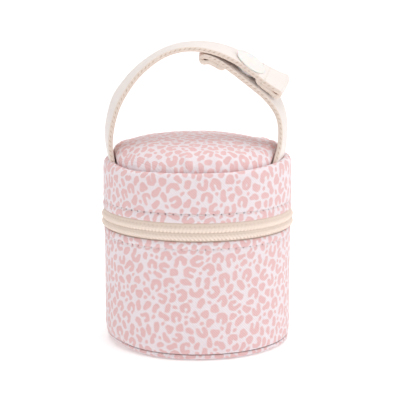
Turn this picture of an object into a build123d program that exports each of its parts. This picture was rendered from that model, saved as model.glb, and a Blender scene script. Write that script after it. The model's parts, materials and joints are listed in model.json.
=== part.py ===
from build123d import *
import math
import os

# Soft zip-round carry case with a rotary three-chamber powder dispenser inside.
# Millimetres. +Z up, origin at the centre of the flat underside.
# -Y is the front, the lid hinges at the back (+Y), left is -X and right is +X.
# Angles are degrees about Z, counted from +X.

# ---------------------------------------------------------------- driving dimensions
BACK, FRONT = 90.0, -90.0

FABRIC_T = 0.8          # outer fabric
LINING_T = 0.5          # inner lining
GAP = 0.05              # air left between layers that lie on each other

BODY_R = 39.7           # outside of the lower wall
BODY_TOP = 49.5         # upper edge of the lower wall
WELT_R = 39.3           # turned-up edge of the base panel
WELT_H = 2.3

LID_R = 40.0            # outside of the lid's side band
LID_BOTTOM = 57.2       # lower edge of the side band

TAPE_R = 38.8           # outside of the zipper tape
TAPE_T = 0.6
CHAIN_Z = 53.1          # centre line of the zipper chain
HINGE_Z = 53.35         # line between the two hinge panels

FOAM_R1 = TAPE_R - TAPE_T - GAP     # wall foam, outside and inside
FOAM_R0 = 36.70
LINING_R1 = FOAM_R0 - 2 * GAP       # wall lining, outside and inside
LINING_R0 = LINING_R1 - LINING_T

STRAP_W = 15.0
STRAP_T = 2.1


# ---------------------------------------------------------------- helpers
def in_xz(points):
    """Turns (radius, z) pairs into points on the XZ plane."""
    return [(radius, 0, z) for radius, z in points]


def turned(points, arc=360.0, start=0.0):
    """Revolves a closed (radius, z) outline about Z."""
    face = make_face(Polyline(*in_xz(points), close=True))
    return Rot(0, 0, start) * revolve(face, Axis.Z, revolution_arc=arc)


def ring(r0, r1, z0, z1, arc=360.0, start=0.0):
    """A ring, or part of one, of rectangular section."""
    return turned([(r0, z0), (r1, z0), (r1, z1), (r0, z1)], arc, start)


def turned_edges(edges):
    return revolve(make_face(edges), Axis.Z, revolution_arc=360.0)


def rod_up(radius, height):
    """A cylinder standing on z = 0."""
    return Cylinder(radius, height, align=(Align.CENTER, Align.CENTER, Align.MIN))


def rod_down(radius, height):
    """A cylinder hanging from z = 0."""
    return Cylinder(radius, height, align=(Align.CENTER, Align.CENTER, Align.MAX))


def box_up(x_size, y_size, height):
    """A box standing on z = 0."""
    return Box(x_size, y_size, height, align=(Align.CENTER, Align.CENTER, Align.MIN))


def main_solid(shape):
    return max(shape.solids(), key=lambda solid: solid.volume)


def export_piece(name, shape):
    solids = shape.solids()
    body = solids[0] if len(solids) == 1 else Compound(children=list(solids))
    export_step(body, os.path.join("parts", name + ".step"))


# ---------------------------------------------------------------- lower case
BOARD_R, BOARD_T = 37.9, 1.4
BOARD_Z = FABRIC_T + 2 * GAP
BASE_FOAM_R, BASE_FOAM_T = 36.5, 1.5
BASE_FOAM_Z = BOARD_Z + BOARD_T + 2 * GAP
LINING_FLOOR = BASE_FOAM_Z + BASE_FOAM_T + GAP
BODY_FOAM_TOP = 48.85


def make_body_shell():
    inside, foot = BODY_R - FABRIC_T, WELT_H + 0.15
    return turned([
        (inside, foot), (BODY_R - 0.5, foot), (BODY_R, WELT_H + 0.9),
        (BODY_R, BODY_TOP), (inside, BODY_TOP),
    ])


def make_base_panel():
    inside = WELT_R - FABRIC_T
    return turned([
        (0, 0), (WELT_R - 1.0, 0), (WELT_R - 0.25, 0.35), (WELT_R, 1.0),
        (WELT_R, WELT_H), (inside, WELT_H), (inside, FABRIC_T), (0, FABRIC_T),
    ])


def make_body_lining():
    """Floor and wall, with a flange turned out over the top of the foam."""
    flange_z = BODY_FOAM_TOP + GAP
    top, floor_top = flange_z + LINING_T, LINING_FLOOR + LINING_T
    return turned([
        (0, LINING_FLOOR), (LINING_R1, LINING_FLOOR), (LINING_R1, flange_z),
        (FOAM_R1, flange_z), (FOAM_R1, top), (LINING_R0, top),
        (LINING_R0, floor_top), (0, floor_top),
    ])


# ---------------------------------------------------------------- zipper and hinge panels
CHAIN_END = 24.0        # the chain stops this many degrees each side of the back
CHAIN_SPAN = (360.0 - 2 * CHAIN_END, BACK + CHAIN_END)      # arc, start
CHAIN_GAP = 0.8         # clearance between the coil rows, where the slider's post runs
COIL_H = 2.5            # height of one coil row
COIL_R0, COIL_R1 = 38.85, 40.8
COIL_CHAMFER = 0.55
TAPE_LOW, TAPE_HIGH = 37.0, 69.0
TAPE_EDGE = 0.5         # from the chain's centre line to each tape's edge

PANEL_ARC = 2 * CHAIN_END - 1.2
PANEL_LOW, PANEL_HIGH = 41.0, 65.5
PANEL_EDGE = 0.1        # from the hinge line to each panel's edge


def make_tape(z0, z1):
    return ring(TAPE_R - TAPE_T, TAPE_R, z0, z1, *CHAIN_SPAN)


def make_hinge_panel(z0, z1):
    return ring(TAPE_R - TAPE_T, TAPE_R, z0, z1, PANEL_ARC, BACK - PANEL_ARC / 2)


def make_coil(z0):
    z1, chamfer_r = z0 + COIL_H, COIL_R1 - COIL_CHAMFER
    return turned([
        (COIL_R0, z0), (chamfer_r, z0), (COIL_R1, z0 + COIL_CHAMFER),
        (COIL_R1, z1 - COIL_CHAMFER), (chamfer_r, z1), (COIL_R0, z1),
    ], *CHAIN_SPAN)


# ---------------------------------------------------------------- zipper slider and pull
SLIDER_AT = 50.0        # parked position, degrees
SLIDER_HALF = 7.4       # half its length, degrees of arc
SLIDER_START = SLIDER_AT - SLIDER_HALF
PLATE_HALF_H = 3.35
POST_HALF_H = 0.25
BAR_R = 44.25           # distance of the pull's bar from the case's axis
BAR_ROD_R = 0.45
BAR_L = 6.4
FOOT_R, FOOT_Y = 43.5, 3.0
PULL_T = 1.1
PULL_W, PULL_L = 5.0, 16.4
EYE_R, EYE_HOLE_R, EYE_W = 1.65, 0.6, 2.2


def at_slider(shape):
    return Rot(0, 0, SLIDER_AT) * shape


def make_slider():
    low, high = CHAIN_Z - PLATE_HALF_H, CHAIN_Z + PLATE_HALF_H
    span = (2 * SLIDER_HALF, SLIDER_START)
    outer_plate = turned([
        (41.55, low), (42.3, low), (42.45, low + 0.15),
        (42.45, high - 0.15), (42.3, high), (41.55, high),
    ], *span)
    inner_plate = ring(36.9, 37.7, low, high, *span)
    post = ring(37.6, 41.65, CHAIN_Z - POST_HALF_H, CHAIN_Z + POST_HALF_H,
                5.0, SLIDER_START + 1.0)
    flange = ring(39.95, 41.65, low, low + 0.3, *span)
    bar = at_slider(Pos(BAR_R, 0, CHAIN_Z) * Rot(90, 0, 0) * Cylinder(BAR_ROD_R, BAR_L))
    feet = (at_slider(Pos(FOOT_R, FOOT_Y, CHAIN_Z) * Box(2.4, 0.9, 1.6))
            + at_slider(Pos(FOOT_R, -FOOT_Y, CHAIN_Z) * Box(2.4, 0.9, 1.6)))
    return outer_plate + inner_plate + post + flange + bar + feet


def make_pull():
    """A slotted tab hanging from an eye round the slider's bar."""
    eye_ring = Rot(90, 0, 0) * (Cylinder(EYE_R, EYE_W) - Cylinder(EYE_HOLE_R, 4))
    tab = Pos(0, 0, -9.6) * Box(PULL_T, PULL_W, PULL_L)
    tab = fillet(tab.edges().filter_by(Axis.X), 1.6)
    slot = extrude(SlotOverall(8.0, 2.0), 4, both=True)
    tab = tab - Pos(0, 0, -11.5) * Rot(0, 90, 0) * slot
    neck = Pos(0, 0, -1.9) * Box(PULL_T, EYE_W, 2.0)
    neck = neck - Rot(90, 0, 0) * Cylinder(EYE_HOLE_R, 4)
    return at_slider(Pos(BAR_R, 0, CHAIN_Z) * (eye_ring + tab + neck))


# ---------------------------------------------------------------- lid
ROLL_R = 1.75           # roll at the top of the side band
ROLL_Z = 76.3           # centre height of that roll
HOOK_FOOT = 75.2        # lower edge of the roll's inner side and of the top panel
DOME_R = 36.3           # domed top panel
DOME_Z = 76.8
DOME_H = 11.4
DOME_POWER = 2.8        # superellipse exponent: flat middle, steep side
CEILING_R, CEILING_Z = 33.2, 75.3
LID_FOAM_LOW = 57.85
LID_LINING_TOP = 74.8   # top of the lining's wall


def dome_points(radius, z_foot, height, count=15):
    """(radius, z) points of a superellipse, from the pole outwards to the foot."""
    points = []
    for i in range(count):
        angle = (math.pi / 2) * i / (count - 1)
        cosine, sine = math.cos(angle), math.sin(angle)
        # values that should be zero are set so before taking the power
        across = sine ** (2 / DOME_POWER) if sine > 0 else 0.0
        rise = cosine ** (2 / DOME_POWER) if cosine > 1e-9 else 0.0
        points.append((radius * across, z_foot + height * rise))
    return points


def dome_shell(outer, inner, rim):
    """A dome between two superellipses (radius, z_foot, height), joined by the rim points."""
    outer_curve, inner_curve = dome_points(*outer), dome_points(*inner)
    return turned_edges([
        Spline(*in_xz(outer_curve)),
        Polyline(*in_xz([outer_curve[-1], *rim, inner_curve[-1]])),
        Spline(*in_xz(reversed(inner_curve))),
        Line((0, 0, inner_curve[0][1]), (0, 0, outer_curve[0][1])),
    ])


def straight_rim(outer_r, inner_r, foot):
    return [(outer_r, foot), (inner_r, foot)]


def make_lid_side_band():
    """A straight band whose top rolls inwards and hooks down."""
    centre = LID_R - ROLL_R
    inner_roll = ROLL_R - FABRIC_T
    hook_out, hook_in = centre - inner_roll, centre - ROLL_R
    inside = LID_R - FABRIC_T
    return turned_edges([
        Polyline(*in_xz([(inside, ROLL_Z), (inside, LID_BOTTOM),
                         (LID_R, LID_BOTTOM), (LID_R, ROLL_Z)])),
        ThreePointArc(*in_xz([(LID_R, ROLL_Z), (centre, ROLL_Z + ROLL_R), (hook_in, ROLL_Z)])),
        Polyline(*in_xz([(hook_in, ROLL_Z), (hook_in, HOOK_FOOT),
                         (hook_out, HOOK_FOOT), (hook_out, ROLL_Z)])),
        ThreePointArc(*in_xz([(hook_out, ROLL_Z), (centre, ROLL_Z + inner_roll),
                              (centre + inner_roll, ROLL_Z)])),
    ])


def make_lid_top_panel():
    inner_r = DOME_R - FABRIC_T
    return dome_shell((DOME_R, DOME_Z, DOME_H), (inner_r, DOME_Z - 0.3, DOME_H - 0.5),
                      straight_rim(DOME_R, inner_r, HOOK_FOOT))


def make_lid_foam_top():
    return dome_shell((35.4, 76.2, 11.0), (33.6, 75.6, 9.4), straight_rim(35.4, 33.6, 75.0))


def make_lid_lining():
    """Domed ceiling and wall, with a flange turned out under the foam."""
    inner_r = CEILING_R - LINING_T
    wall_top, wall_top_inside = LID_LINING_TOP, LID_LINING_TOP - LINING_T
    flange_top = LID_FOAM_LOW - GAP
    flange_low = flange_top - LINING_T
    return dome_shell((CEILING_R, CEILING_Z, 9.3), (inner_r, CEILING_Z - 0.2, 9.0), [
        (CEILING_R, wall_top), (LINING_R1, wall_top), (LINING_R1, flange_top),
        (FOAM_R1, flange_top), (FOAM_R1, flange_low), (LINING_R0, flange_low),
        (LINING_R0, wall_top_inside), (inner_r, wall_top_inside),
    ])


# ---------------------------------------------------------------- strap geometry
def natural_spline(knots, values):
    """Natural cubic spline through the values; returns a function of the knot parameter."""
    count = len(knots)
    step = [knots[i + 1] - knots[i] for i in range(count - 1)]
    pivot, upper, solved = [1.0] * count, [0.0] * count, [0.0] * count
    for i in range(1, count - 1):
        bend = 3 * ((values[i + 1] - values[i]) / step[i]
                    - (values[i] - values[i - 1]) / step[i - 1])
        pivot[i] = 2 * (knots[i + 1] - knots[i - 1]) - step[i - 1] * upper[i - 1]
        upper[i] = step[i] / pivot[i]
        solved[i] = (bend - step[i - 1] * solved[i - 1]) / pivot[i]
    linear, square, cubic = [0.0] * count, [0.0] * count, [0.0] * count
    for i in range(count - 2, -1, -1):
        square[i] = solved[i] - upper[i] * square[i + 1]
        linear[i] = ((values[i + 1] - values[i]) / step[i]
                     - step[i] * (square[i + 1] + 2 * square[i]) / 3)
        cubic[i] = (square[i + 1] - square[i]) / (3 * step[i])

    def value_at(along):
        i = next((k for k in range(count - 1) if along <= knots[k + 1]), count - 2)
        x = along - knots[i]
        return values[i] + linear[i] * x + square[i] * x * x + cubic[i] * x ** 3

    return value_at


class Strap:
    """A flat strap along a space curve; places on it are given by the length along it."""

    def __init__(self, stations, side):
        self.side = side
        self.marks = [0.0]          # length along the strap at each station
        for here, following in zip(stations[:-1], stations[1:]):
            self.marks.append(self.marks[-1] + math.dist(here[:3], following[:3]))
        self.length = self.marks[-1]
        self.curves = [natural_spline(self.marks, [s[k] for s in stations]) for k in range(4)]

    def point(self, along):
        return Vector(*[self.curves[k](along) for k in range(3)])

    def frame(self, along):
        """Front edge of the outer face, then the along, width and outward directions."""
        reach = 0.05
        tangent = (self.point(along + reach) - self.point(along - reach)).normalized()
        y_dir = Vector(0, 1, 0)
        flat_width = (y_dir - tangent * y_dir.dot(tangent)).normalized()
        if self.side == "left":
            flat_normal = tangent.cross(flat_width)
        else:
            flat_normal = flat_width.cross(tangent)
        twist = math.radians(self.curves[3](along))
        width = flat_width * math.cos(twist) + flat_normal * math.sin(twist)
        normal = flat_normal * math.cos(twist) - flat_width * math.sin(twist)
        return self.point(along), tangent, width, normal

    def section(self, along, top, bottom, grow):
        """Cross-section from depth top to depth bottom, grown on all sides."""
        edge, _, width, normal = self.frame(along)
        drop = normal * (bottom - top + 2 * grow)
        near = edge - normal * (top - grow) - width * grow
        far = near + width * (STRAP_W + 2 * grow)
        return Face(Wire.make_polygon([near, far, far - drop, near - drop], close=True))

    def solid(self, start, end, top=0.0, bottom=STRAP_T, grow=0.0, step=5.0):
        count = max(2, int(round((end - start) / step)) + 1)
        return loft([
            self.section(start + (end - start) * i / (count - 1), top, bottom, grow)
            for i in range(count)
        ])

    def middle(self, along):
        """Centre of the cross-section."""
        edge, _, width, normal = self.frame(along)
        return edge + width * (STRAP_W / 2) - normal * (STRAP_T / 2)

    def plane(self, along):
        """A plane on the outer face's middle, x along the strap and z outwards."""
        edge, tangent, width, normal = self.frame(along)
        return Plane(origin=edge + width * (STRAP_W / 2), x_dir=tangent, z_dir=normal)


# Stations from the root to the tip: x, y, z of the outer face's front edge,
# and the twist of the width direction in degrees
LONG_STATIONS = [
    (-35.2, -12.6, 73.0, 5), (-36.3, -13.1, 78.0, 7), (-37.1, -13.3, 85.3, 9),
    (-36.5, -13.3, 91.5, 11), (-35.1, -13.3, 97.5, 12), (-32.9, -13.3, 103.2, 13),
    (-29.8, -13.3, 108.6, 11), (-26.1, -13.3, 113.7, 9), (-21.6, -13.3, 118.2, 7),
    (-16.5, -13.3, 122.0, 5.5), (-11.0, -13.3, 124.6, 5), (-5.1, -13.3, 125.9, 5),
    (1.0, -13.3, 125.8, 7), (7.2, -13.3, 124.5, 10), (13.1, -13.3, 122.1, 13),
    (18.5, -13.3, 119.0, 16), (23.5, -13.3, 115.3, 19), (28.4, -13.3, 111.6, 23),
    (32.6, -13.3, 108.7, 27), (35.4, -13.3, 107.2, 29),
]
SHORT_STATIONS = [
    (31.6, -18.9, 73.0, 13), (33.2, -18.5, 79.0, 13), (34.7, -17.4, 84.2, 12.5),
    (35.3, -16.4, 89.2, 11), (35.1, -15.3, 94.3, 10.5), (33.7, -14.3, 98.9, 12),
    (30.9, -13.6, 103.0, 16), (27.3, -13.3, 106.7, 20), (23.2, -13.3, 110.1, 19),
    (19.2, -13.3, 113.3, 17), (15.0, -13.3, 116.6, 14.5), (10.8, -13.3, 119.6, 12),
    (6.5, -13.3, 122.0, 10), (3.2, -13.3, 123.0, 8.5), (1.3, -13.3, 123.2, 8),
]
LONG_STRAP = Strap(LONG_STATIONS, "left")
SHORT_STRAP = Strap(SHORT_STATIONS, "right")

# ---------------------------------------------------------------- handle straps
SWING_Z = 87.0          # the handle swings about a line through both straps at this height
SWING_R = 7.6           # round end of each leg
LEG_MARK = 5            # station where each leg ends
FLEX_AT = LONG_STRAP.marks[11]      # the long strap is split here
FLEX_GAP = 0.1          # left free on each side of the split
HEM_L = 10.0            # length of the turned-back hem at each strap end
TIP_CUT = 2.0           # each strap ends this far before its last station
FOLD_R = STRAP_T - 0.05
FOLD_EYE_R = 0.35
OVERLAP = 0.01          # joined runs overlap by this much
ROOT_Z = 75.05          # lower end of the strap roots


def swing_point(strap):
    """Centre of the strap at the swing height, found by halving."""
    low, high = 0, strap.marks[LEG_MARK]
    for _ in range(60):
        half = (low + high) / 2
        if strap.middle(half).Z < SWING_Z:
            low = half
        else:
            high = half
    return strap.middle((low + high) / 2)


SWING_LONG = swing_point(LONG_STRAP)
SWING_SHORT = swing_point(SHORT_STRAP)
SWING_DIR = (SWING_SHORT - SWING_LONG).normalized()


def swing_disc(centre, half_length=6.0):
    base = Plane(origin=centre - SWING_DIR * half_length, z_dir=SWING_DIR)
    return base * rod_up(SWING_R, 2 * half_length)


def space_above(centre, low):
    return Pos(centre.X, centre.Y, low) * box_up(30, 60, 80)


def root_and_leg(strap, centre):
    """Splits the lower strap near the swing axis: a fixed root, and a leg with a round end."""
    low = strap.solid(0.0, strap.marks[LEG_MARK], step=4.0)
    leg = low & (space_above(centre, centre.Z + 1.5) + swing_disc(centre))
    root = low - space_above(centre, centre.Z - SWING_R - 0.2)
    return main_solid(root) & space_over(ROOT_Z), main_solid(leg)


def space_over(z):
    """All of the case above a height."""
    return Pos(0, 0, z) * box_up(100, 100, 60)


def make_hem(strap, end):
    """The turned-back end: a second layer under the strap, closed by a fold with an eye."""
    start = end - HEM_L
    run = strap.solid(start - OVERLAP, end, step=3.5)
    tail = strap.solid(start, end, STRAP_T - OVERLAP, 2 * FOLD_R, step=3.5)
    edge, _, width, normal = strap.frame(end)
    centre = edge - normal * FOLD_R
    fold = Plane(origin=centre, z_dir=width) * rod_up(FOLD_R, STRAP_W)
    eye = Plane(origin=centre - width, z_dir=width) * rod_up(FOLD_EYE_R, STRAP_W + 2)
    return run + tail + fold - eye


def hemmed_run(strap, start):
    """The strap from a start to its hemmed end: the plain run and the hem."""
    end = strap.length - TIP_CUT
    return strap.solid(start, end - HEM_L + OVERLAP), make_hem(strap, end)


def make_strap_long(leg):
    return leg + LONG_STRAP.solid(LONG_STRAP.marks[LEG_MARK] - OVERLAP, FLEX_AT - FLEX_GAP)


def make_strap_long_tip():
    run, hem = hemmed_run(LONG_STRAP, FLEX_AT + FLEX_GAP)
    tip = run + hem - on_snap(STRAP_T + 1, rod_up(PRONG_R + SEAT_CLEAR, STRAP_T + 2))
    return (tip - on_snap(SEAT, rod_up(CAP_R + SEAT_CLEAR, 3))
            - on_snap(STRAP_T - SEAT, rod_down(SOCKET_R + SEAT_CLEAR, 1.9)))


def make_strap_short(leg):
    run, hem = hemmed_run(SHORT_STRAP, SHORT_STRAP.marks[LEG_MARK] - OVERLAP)
    strap = leg + run + hem
    under = SHORT_FACE + STRAP_T
    strap = strap - on_snap(under + 1, rod_up(PRONG_R + SEAT_CLEAR, STRAP_T + 1.9))
    return (strap - on_snap(SHORT_FACE + SEAT, rod_up(STUD_BASE_R + SEAT_CLEAR, 2.0))
            - on_snap(under - SEAT, rod_down(INNER_CAP_R + SEAT_CLEAR, 3)))


# ---------------------------------------------------------------- snap through both straps
CAP_R = 7.1             # outer head
INNER_CAP_R = 5.6
SOCKET_R = 5.4
STUD_BASE_R, STUD_R = 4.6, 2.4
PRONG_R = 1.3           # stems of both heads
PRONG_CLEAR = 0.1       # round the prong, in the socket and the stud
PLATE_T = 0.6           # socket's plate
SEAT = 0.15             # depth of the flat seats cut into the strap's faces
SEAT_CLEAR = 0.15       # round each snap part, in the strap
PRESS = SEAT - 0.03     # how far the snap parts reach into the seats

SNAP_PLANE = LONG_STRAP.plane(LONG_STRAP.marks[15] + 3.0)


def on_snap(depth, shape):
    """Places a shape whose z = 0 is at a depth below the long strap's outer face."""
    normal = SNAP_PLANE.z_dir
    origin = SNAP_PLANE.origin - normal * depth
    return Plane(origin=origin, x_dir=SNAP_PLANE.x_dir, z_dir=normal) * shape


def gap_between_straps():
    """Gap along the snap's axis, at the short strap's nearest point to that axis."""
    centre, normal = SNAP_PLANE.origin, SNAP_PLANE.z_dir

    def off_axis(along):
        offset = SHORT_STRAP.plane(along).origin - centre
        return (offset - normal * offset.dot(normal)).length

    search_step = 0.2
    places = [i * search_step for i in range(int(SHORT_STRAP.length / search_step))]
    nearest = min(places, key=off_axis)
    return (centre - SHORT_STRAP.plane(nearest).origin).dot(normal) - STRAP_T


SNAP_GAP = gap_between_straps()
SHORT_FACE = STRAP_T + SNAP_GAP     # depth of the short strap's outer face


def snap_head(radius, edge, height, stem_l):
    """A shallow domed head standing on z = 0 with a round stem below it."""
    rise = height - edge
    sphere_r = (radius ** 2 + rise ** 2) / (2 * rise)
    points = [(0, -stem_l), (PRONG_R, -stem_l), (PRONG_R, 0),
              (radius - 0.25, 0), (radius, 0.25), (radius, edge)]
    for i in range(1, 13):
        x = radius * (1 - i / 12)
        points.append((x, height - (sphere_r - math.sqrt(sphere_r ** 2 - x ** 2))))
    return turned(points)


def make_snap_cap_outer():
    head = snap_head(CAP_R, edge=0.7, height=2.4, stem_l=STRAP_T - PRESS + PLATE_T + 0.05)
    return on_snap(PRESS, head)


def make_snap_socket():
    socket = rod_down(SOCKET_R, 1.35) - Pos(0, 0, -PLATE_T) * rod_down(3.1, 2.0)
    return on_snap(STRAP_T - PRESS, socket - rod_down(PRONG_R + PRONG_CLEAR, 3))


def make_snap_stud():
    stud = rod_up(STUD_BASE_R, 0.45) + rod_up(STUD_R, SNAP_GAP + PRESS - PLATE_T - 0.25)
    stud = stud - Pos(0, 0, -1) * rod_up(PRONG_R + PRONG_CLEAR, 5)
    return on_snap(SHORT_FACE + PRESS, stud)


def make_snap_cap_inner():
    head = snap_head(INNER_CAP_R, edge=0.5, height=1.2, stem_l=STRAP_T - 2 * PRESS + 0.55)
    return on_snap(SHORT_FACE + STRAP_T - PRESS, Rot(180, 0, 0) * head)


# ---------------------------------------------------------------- room for the straps in the lid
POCKET_CLEAR = 0.15
PRESSED = 2.35          # how far the fabric is pressed back round each strap
SEAM_Z = 78.6           # the pressed places start at this height


def make_pocket(strap, beyond):
    """Where a strap root is sewn into the lid's crease."""
    return strap.solid(0.0, strap.marks[1] + beyond, grow=POCKET_CLEAR, step=4.0)


def make_relief(strap, beyond):
    """The pressed-in place a strap swings through just above the crease."""
    space = strap.solid(strap.marks[1] - 2.0, strap.marks[3] + beyond, grow=PRESSED, step=4.0)
    return space & space_over(SEAM_Z)


def cut_each(shape, tools):
    for tool in tools:
        shape = main_solid(shape - tool)
    return shape


# ---------------------------------------------------------------- powder dispenser
TUB_R = 34.3
TUB_IN_R = TUB_R - 1.6
TUB_Z0, TUB_TOP = 4.6, 66.0
TUB_FLOOR = TUB_Z0 + 1.8
BEAD_Z = 61.8           # bead round the tub that the pour lid snaps over
VANE_T = 1.4
VANE_R = TUB_IN_R - 0.12
VANE_Z = TUB_FLOOR + 1.6
DECK_ARC = 60.0         # front sector closed by a deck
VANE_ANGLES = (FRONT - DECK_ARC / 2, FRONT + DECK_ARC / 2, 40.0, 140.0)
SKIRT_R, SKIRT_Z = 35.6, 60.0
CAP_Z = TUB_TOP + 1.1   # underside of the pour lid over the tub's rim
HOLE_ARC, LIP_ARC = 40.0, 48.0
GROOVES = 36


def make_tub():
    return turned([
        (0, TUB_Z0), (TUB_R - 2.5, TUB_Z0), (TUB_R - 0.7, TUB_Z0 + 0.8),
        (TUB_R, TUB_Z0 + 2.6), (TUB_R, BEAD_Z - 0.8), (TUB_R + 0.5, BEAD_Z - 0.3),
        (TUB_R + 0.5, BEAD_Z + 0.3), (TUB_R, BEAD_Z + 0.8), (TUB_R, TUB_TOP),
        (TUB_IN_R, TUB_TOP), (TUB_IN_R, TUB_Z0 + 3.0), (TUB_IN_R - 1.4, TUB_FLOOR),
        (0, TUB_FLOOR),
    ])


def make_divider():
    """A core with four vanes, and a deck over the front sector."""
    top = TUB_TOP - 0.1
    divider = Pos(0, 0, TUB_FLOOR + 0.05) * rod_up(3.0, top - TUB_FLOOR - 0.05)
    for angle in VANE_ANGLES:
        vane = Box(VANE_R, VANE_T, top - VANE_Z, align=(Align.MIN, Align.CENTER, Align.MIN))
        divider = divider + Rot(0, 0, angle) * (Pos(0, 0, VANE_Z) * vane)
    return divider + ring(2.0, VANE_R, top - 2.0, top, DECK_ARC, FRONT - DECK_ARC / 2)


def make_seal_ring():
    return turned([
        (32.95, TUB_TOP + GAP), (34.1, TUB_TOP + GAP), (34.1, TUB_TOP + 0.6),
        (33.52, TUB_TOP + 0.95), (32.95, TUB_TOP + 0.6),
    ])


def make_pour_lid():
    """Skirted lid with a lipped pouring hole at the front, a grip bar and a grooved skirt."""
    bore, bead_bore = TUB_R + 0.1, TUB_R + 0.6
    plug_r, plug_z = 32.6, TUB_TOP + 0.1
    top = CAP_Z + 2.0
    lid = turned([
        (bore, SKIRT_Z), (SKIRT_R - 0.4, SKIRT_Z), (SKIRT_R, SKIRT_Z + 0.4),
        (SKIRT_R, CAP_Z + 0.6), (SKIRT_R - 1.6, top), (0, top), (0, plug_z),
        (plug_r, plug_z), (plug_r, CAP_Z), (bore, CAP_Z), (bore, BEAD_Z + 1.0),
        (bead_bore, BEAD_Z + 0.45), (bead_bore, BEAD_Z - 0.45), (bore, BEAD_Z - 1.0),
    ])
    lip = turned([(11.4, CAP_Z + 1.5), (31.1, CAP_Z + 1.5), (31.1, CAP_Z + 6.0),
                  (11.4, CAP_Z + 4.2)], LIP_ARC, FRONT - LIP_ARC / 2)
    grip = Pos(0, 6.5, CAP_Z + 1.9) * box_up(5.0, 44.0, 6.0)
    grip = fillet(grip.edges().filter_by(Axis.Z), 2.3)
    grip = fillet(grip.faces().sort_by(Axis.Z)[-1].edges(), 1.4)
    hole = ring(13.0, 29.5, TUB_TOP - 1, CAP_Z + 12, HOLE_ARC, FRONT - HOLE_ARC / 2)
    lid = lid + lip + grip - hole
    pitch = 360 / GROOVES
    for i in range(GROOVES):
        groove = Pos(SKIRT_R + 0.02, 0, SKIRT_Z + 3.6) * Cylinder(0.35, 5.6)
        lid = lid - Rot(0, 0, (i + 0.5) * pitch) * groove
    return lid


# ---------------------------------------------------------------- build and export
root_left, leg_long = root_and_leg(LONG_STRAP, SWING_LONG)
root_right, leg_short = root_and_leg(SHORT_STRAP, SWING_SHORT)
pockets = [make_pocket(LONG_STRAP, 4.0), make_pocket(SHORT_STRAP, 4.5)]
reliefs = [make_relief(LONG_STRAP, 6.0), make_relief(SHORT_STRAP, 4.0)]

pieces = {
    "body_shell": make_body_shell(),
    "base_panel": make_base_panel(),
    "base_board": Pos(0, 0, BOARD_Z) * rod_up(BOARD_R, BOARD_T),
    "base_foam": Pos(0, 0, BASE_FOAM_Z) * rod_up(BASE_FOAM_R, BASE_FOAM_T),
    "body_foam": ring(FOAM_R0, FOAM_R1, BASE_FOAM_Z, BODY_FOAM_TOP),
    "body_lining": make_body_lining(),
    "hinge_panel_lower": make_hinge_panel(PANEL_LOW, HINGE_Z - PANEL_EDGE),
    "zipper_tape_lower": make_tape(TAPE_LOW, CHAIN_Z - TAPE_EDGE),
    "zipper_coil_lower": make_coil(CHAIN_Z - CHAIN_GAP / 2 - COIL_H),
    "lid_side_band": cut_each(make_lid_side_band(), pockets),
    "lid_top_panel": cut_each(make_lid_top_panel(), reliefs + pockets),
    "lid_foam_band": ring(FOAM_R0, FOAM_R1, LID_FOAM_LOW, LID_LINING_TOP + 2 * GAP),
    "lid_foam_top": cut_each(make_lid_foam_top(), reliefs + pockets),
    "lid_lining": make_lid_lining(),
    "hinge_panel_upper": make_hinge_panel(HINGE_Z + PANEL_EDGE, PANEL_HIGH),
    "zipper_tape_upper": make_tape(CHAIN_Z + TAPE_EDGE, TAPE_HIGH),
    "zipper_coil_upper": make_coil(CHAIN_Z + CHAIN_GAP / 2),
    "zipper_slider": make_slider(),
    "zipper_pull": make_pull(),
    "strap_root_left": root_left,
    "strap_root_right": root_right,
    "strap_long": make_strap_long(leg_long),
    "strap_long_tip": make_strap_long_tip(),
    "strap_short": make_strap_short(leg_short),
    "snap_cap_outer": make_snap_cap_outer(),
    "snap_socket": make_snap_socket(),
    "snap_stud": make_snap_stud(),
    "snap_cap_inner": make_snap_cap_inner(),
    "powder_tub": make_tub(),
    "chamber_divider": make_divider(),
    "seal_ring": make_seal_ring(),
    "pour_lid": make_pour_lid(),
}

os.makedirs("parts", exist_ok=True)
for name, shape in pieces.items():
    export_piece(name, shape)
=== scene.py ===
"""A small round fabric case with a zipped, padded lid, a powder tub inside, and two straps
that meet over the top in a snap.

The case stands on z = 0 with its axis on z. Its front faces -y, towards the camera; the
hinge is at the back (+y). The long strap rises on the left (-x), the short one on the right.
Lengths are in mm unless a name or comment says metres; new_object turns them into metres.
"""
import bmesh
import bpy
import json
import math
import numpy as np
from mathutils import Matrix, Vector

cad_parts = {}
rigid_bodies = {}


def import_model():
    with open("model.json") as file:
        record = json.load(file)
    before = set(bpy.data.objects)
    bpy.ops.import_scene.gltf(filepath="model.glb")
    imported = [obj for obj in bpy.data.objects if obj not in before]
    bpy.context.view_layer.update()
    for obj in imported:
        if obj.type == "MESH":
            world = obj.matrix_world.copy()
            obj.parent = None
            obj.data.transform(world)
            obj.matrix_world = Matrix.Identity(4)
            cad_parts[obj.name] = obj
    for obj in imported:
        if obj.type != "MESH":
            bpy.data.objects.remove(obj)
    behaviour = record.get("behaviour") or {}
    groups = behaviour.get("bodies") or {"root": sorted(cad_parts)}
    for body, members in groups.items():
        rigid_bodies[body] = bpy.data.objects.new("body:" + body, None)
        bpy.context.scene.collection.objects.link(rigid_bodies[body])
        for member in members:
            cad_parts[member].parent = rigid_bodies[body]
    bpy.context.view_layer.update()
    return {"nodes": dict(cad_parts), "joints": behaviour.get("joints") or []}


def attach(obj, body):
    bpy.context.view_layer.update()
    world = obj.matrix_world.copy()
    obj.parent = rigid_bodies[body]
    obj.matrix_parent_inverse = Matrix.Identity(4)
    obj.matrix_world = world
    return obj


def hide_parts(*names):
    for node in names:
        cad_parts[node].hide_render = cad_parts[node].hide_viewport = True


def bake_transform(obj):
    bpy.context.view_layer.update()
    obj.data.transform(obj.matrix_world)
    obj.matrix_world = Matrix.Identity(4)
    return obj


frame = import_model()

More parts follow.
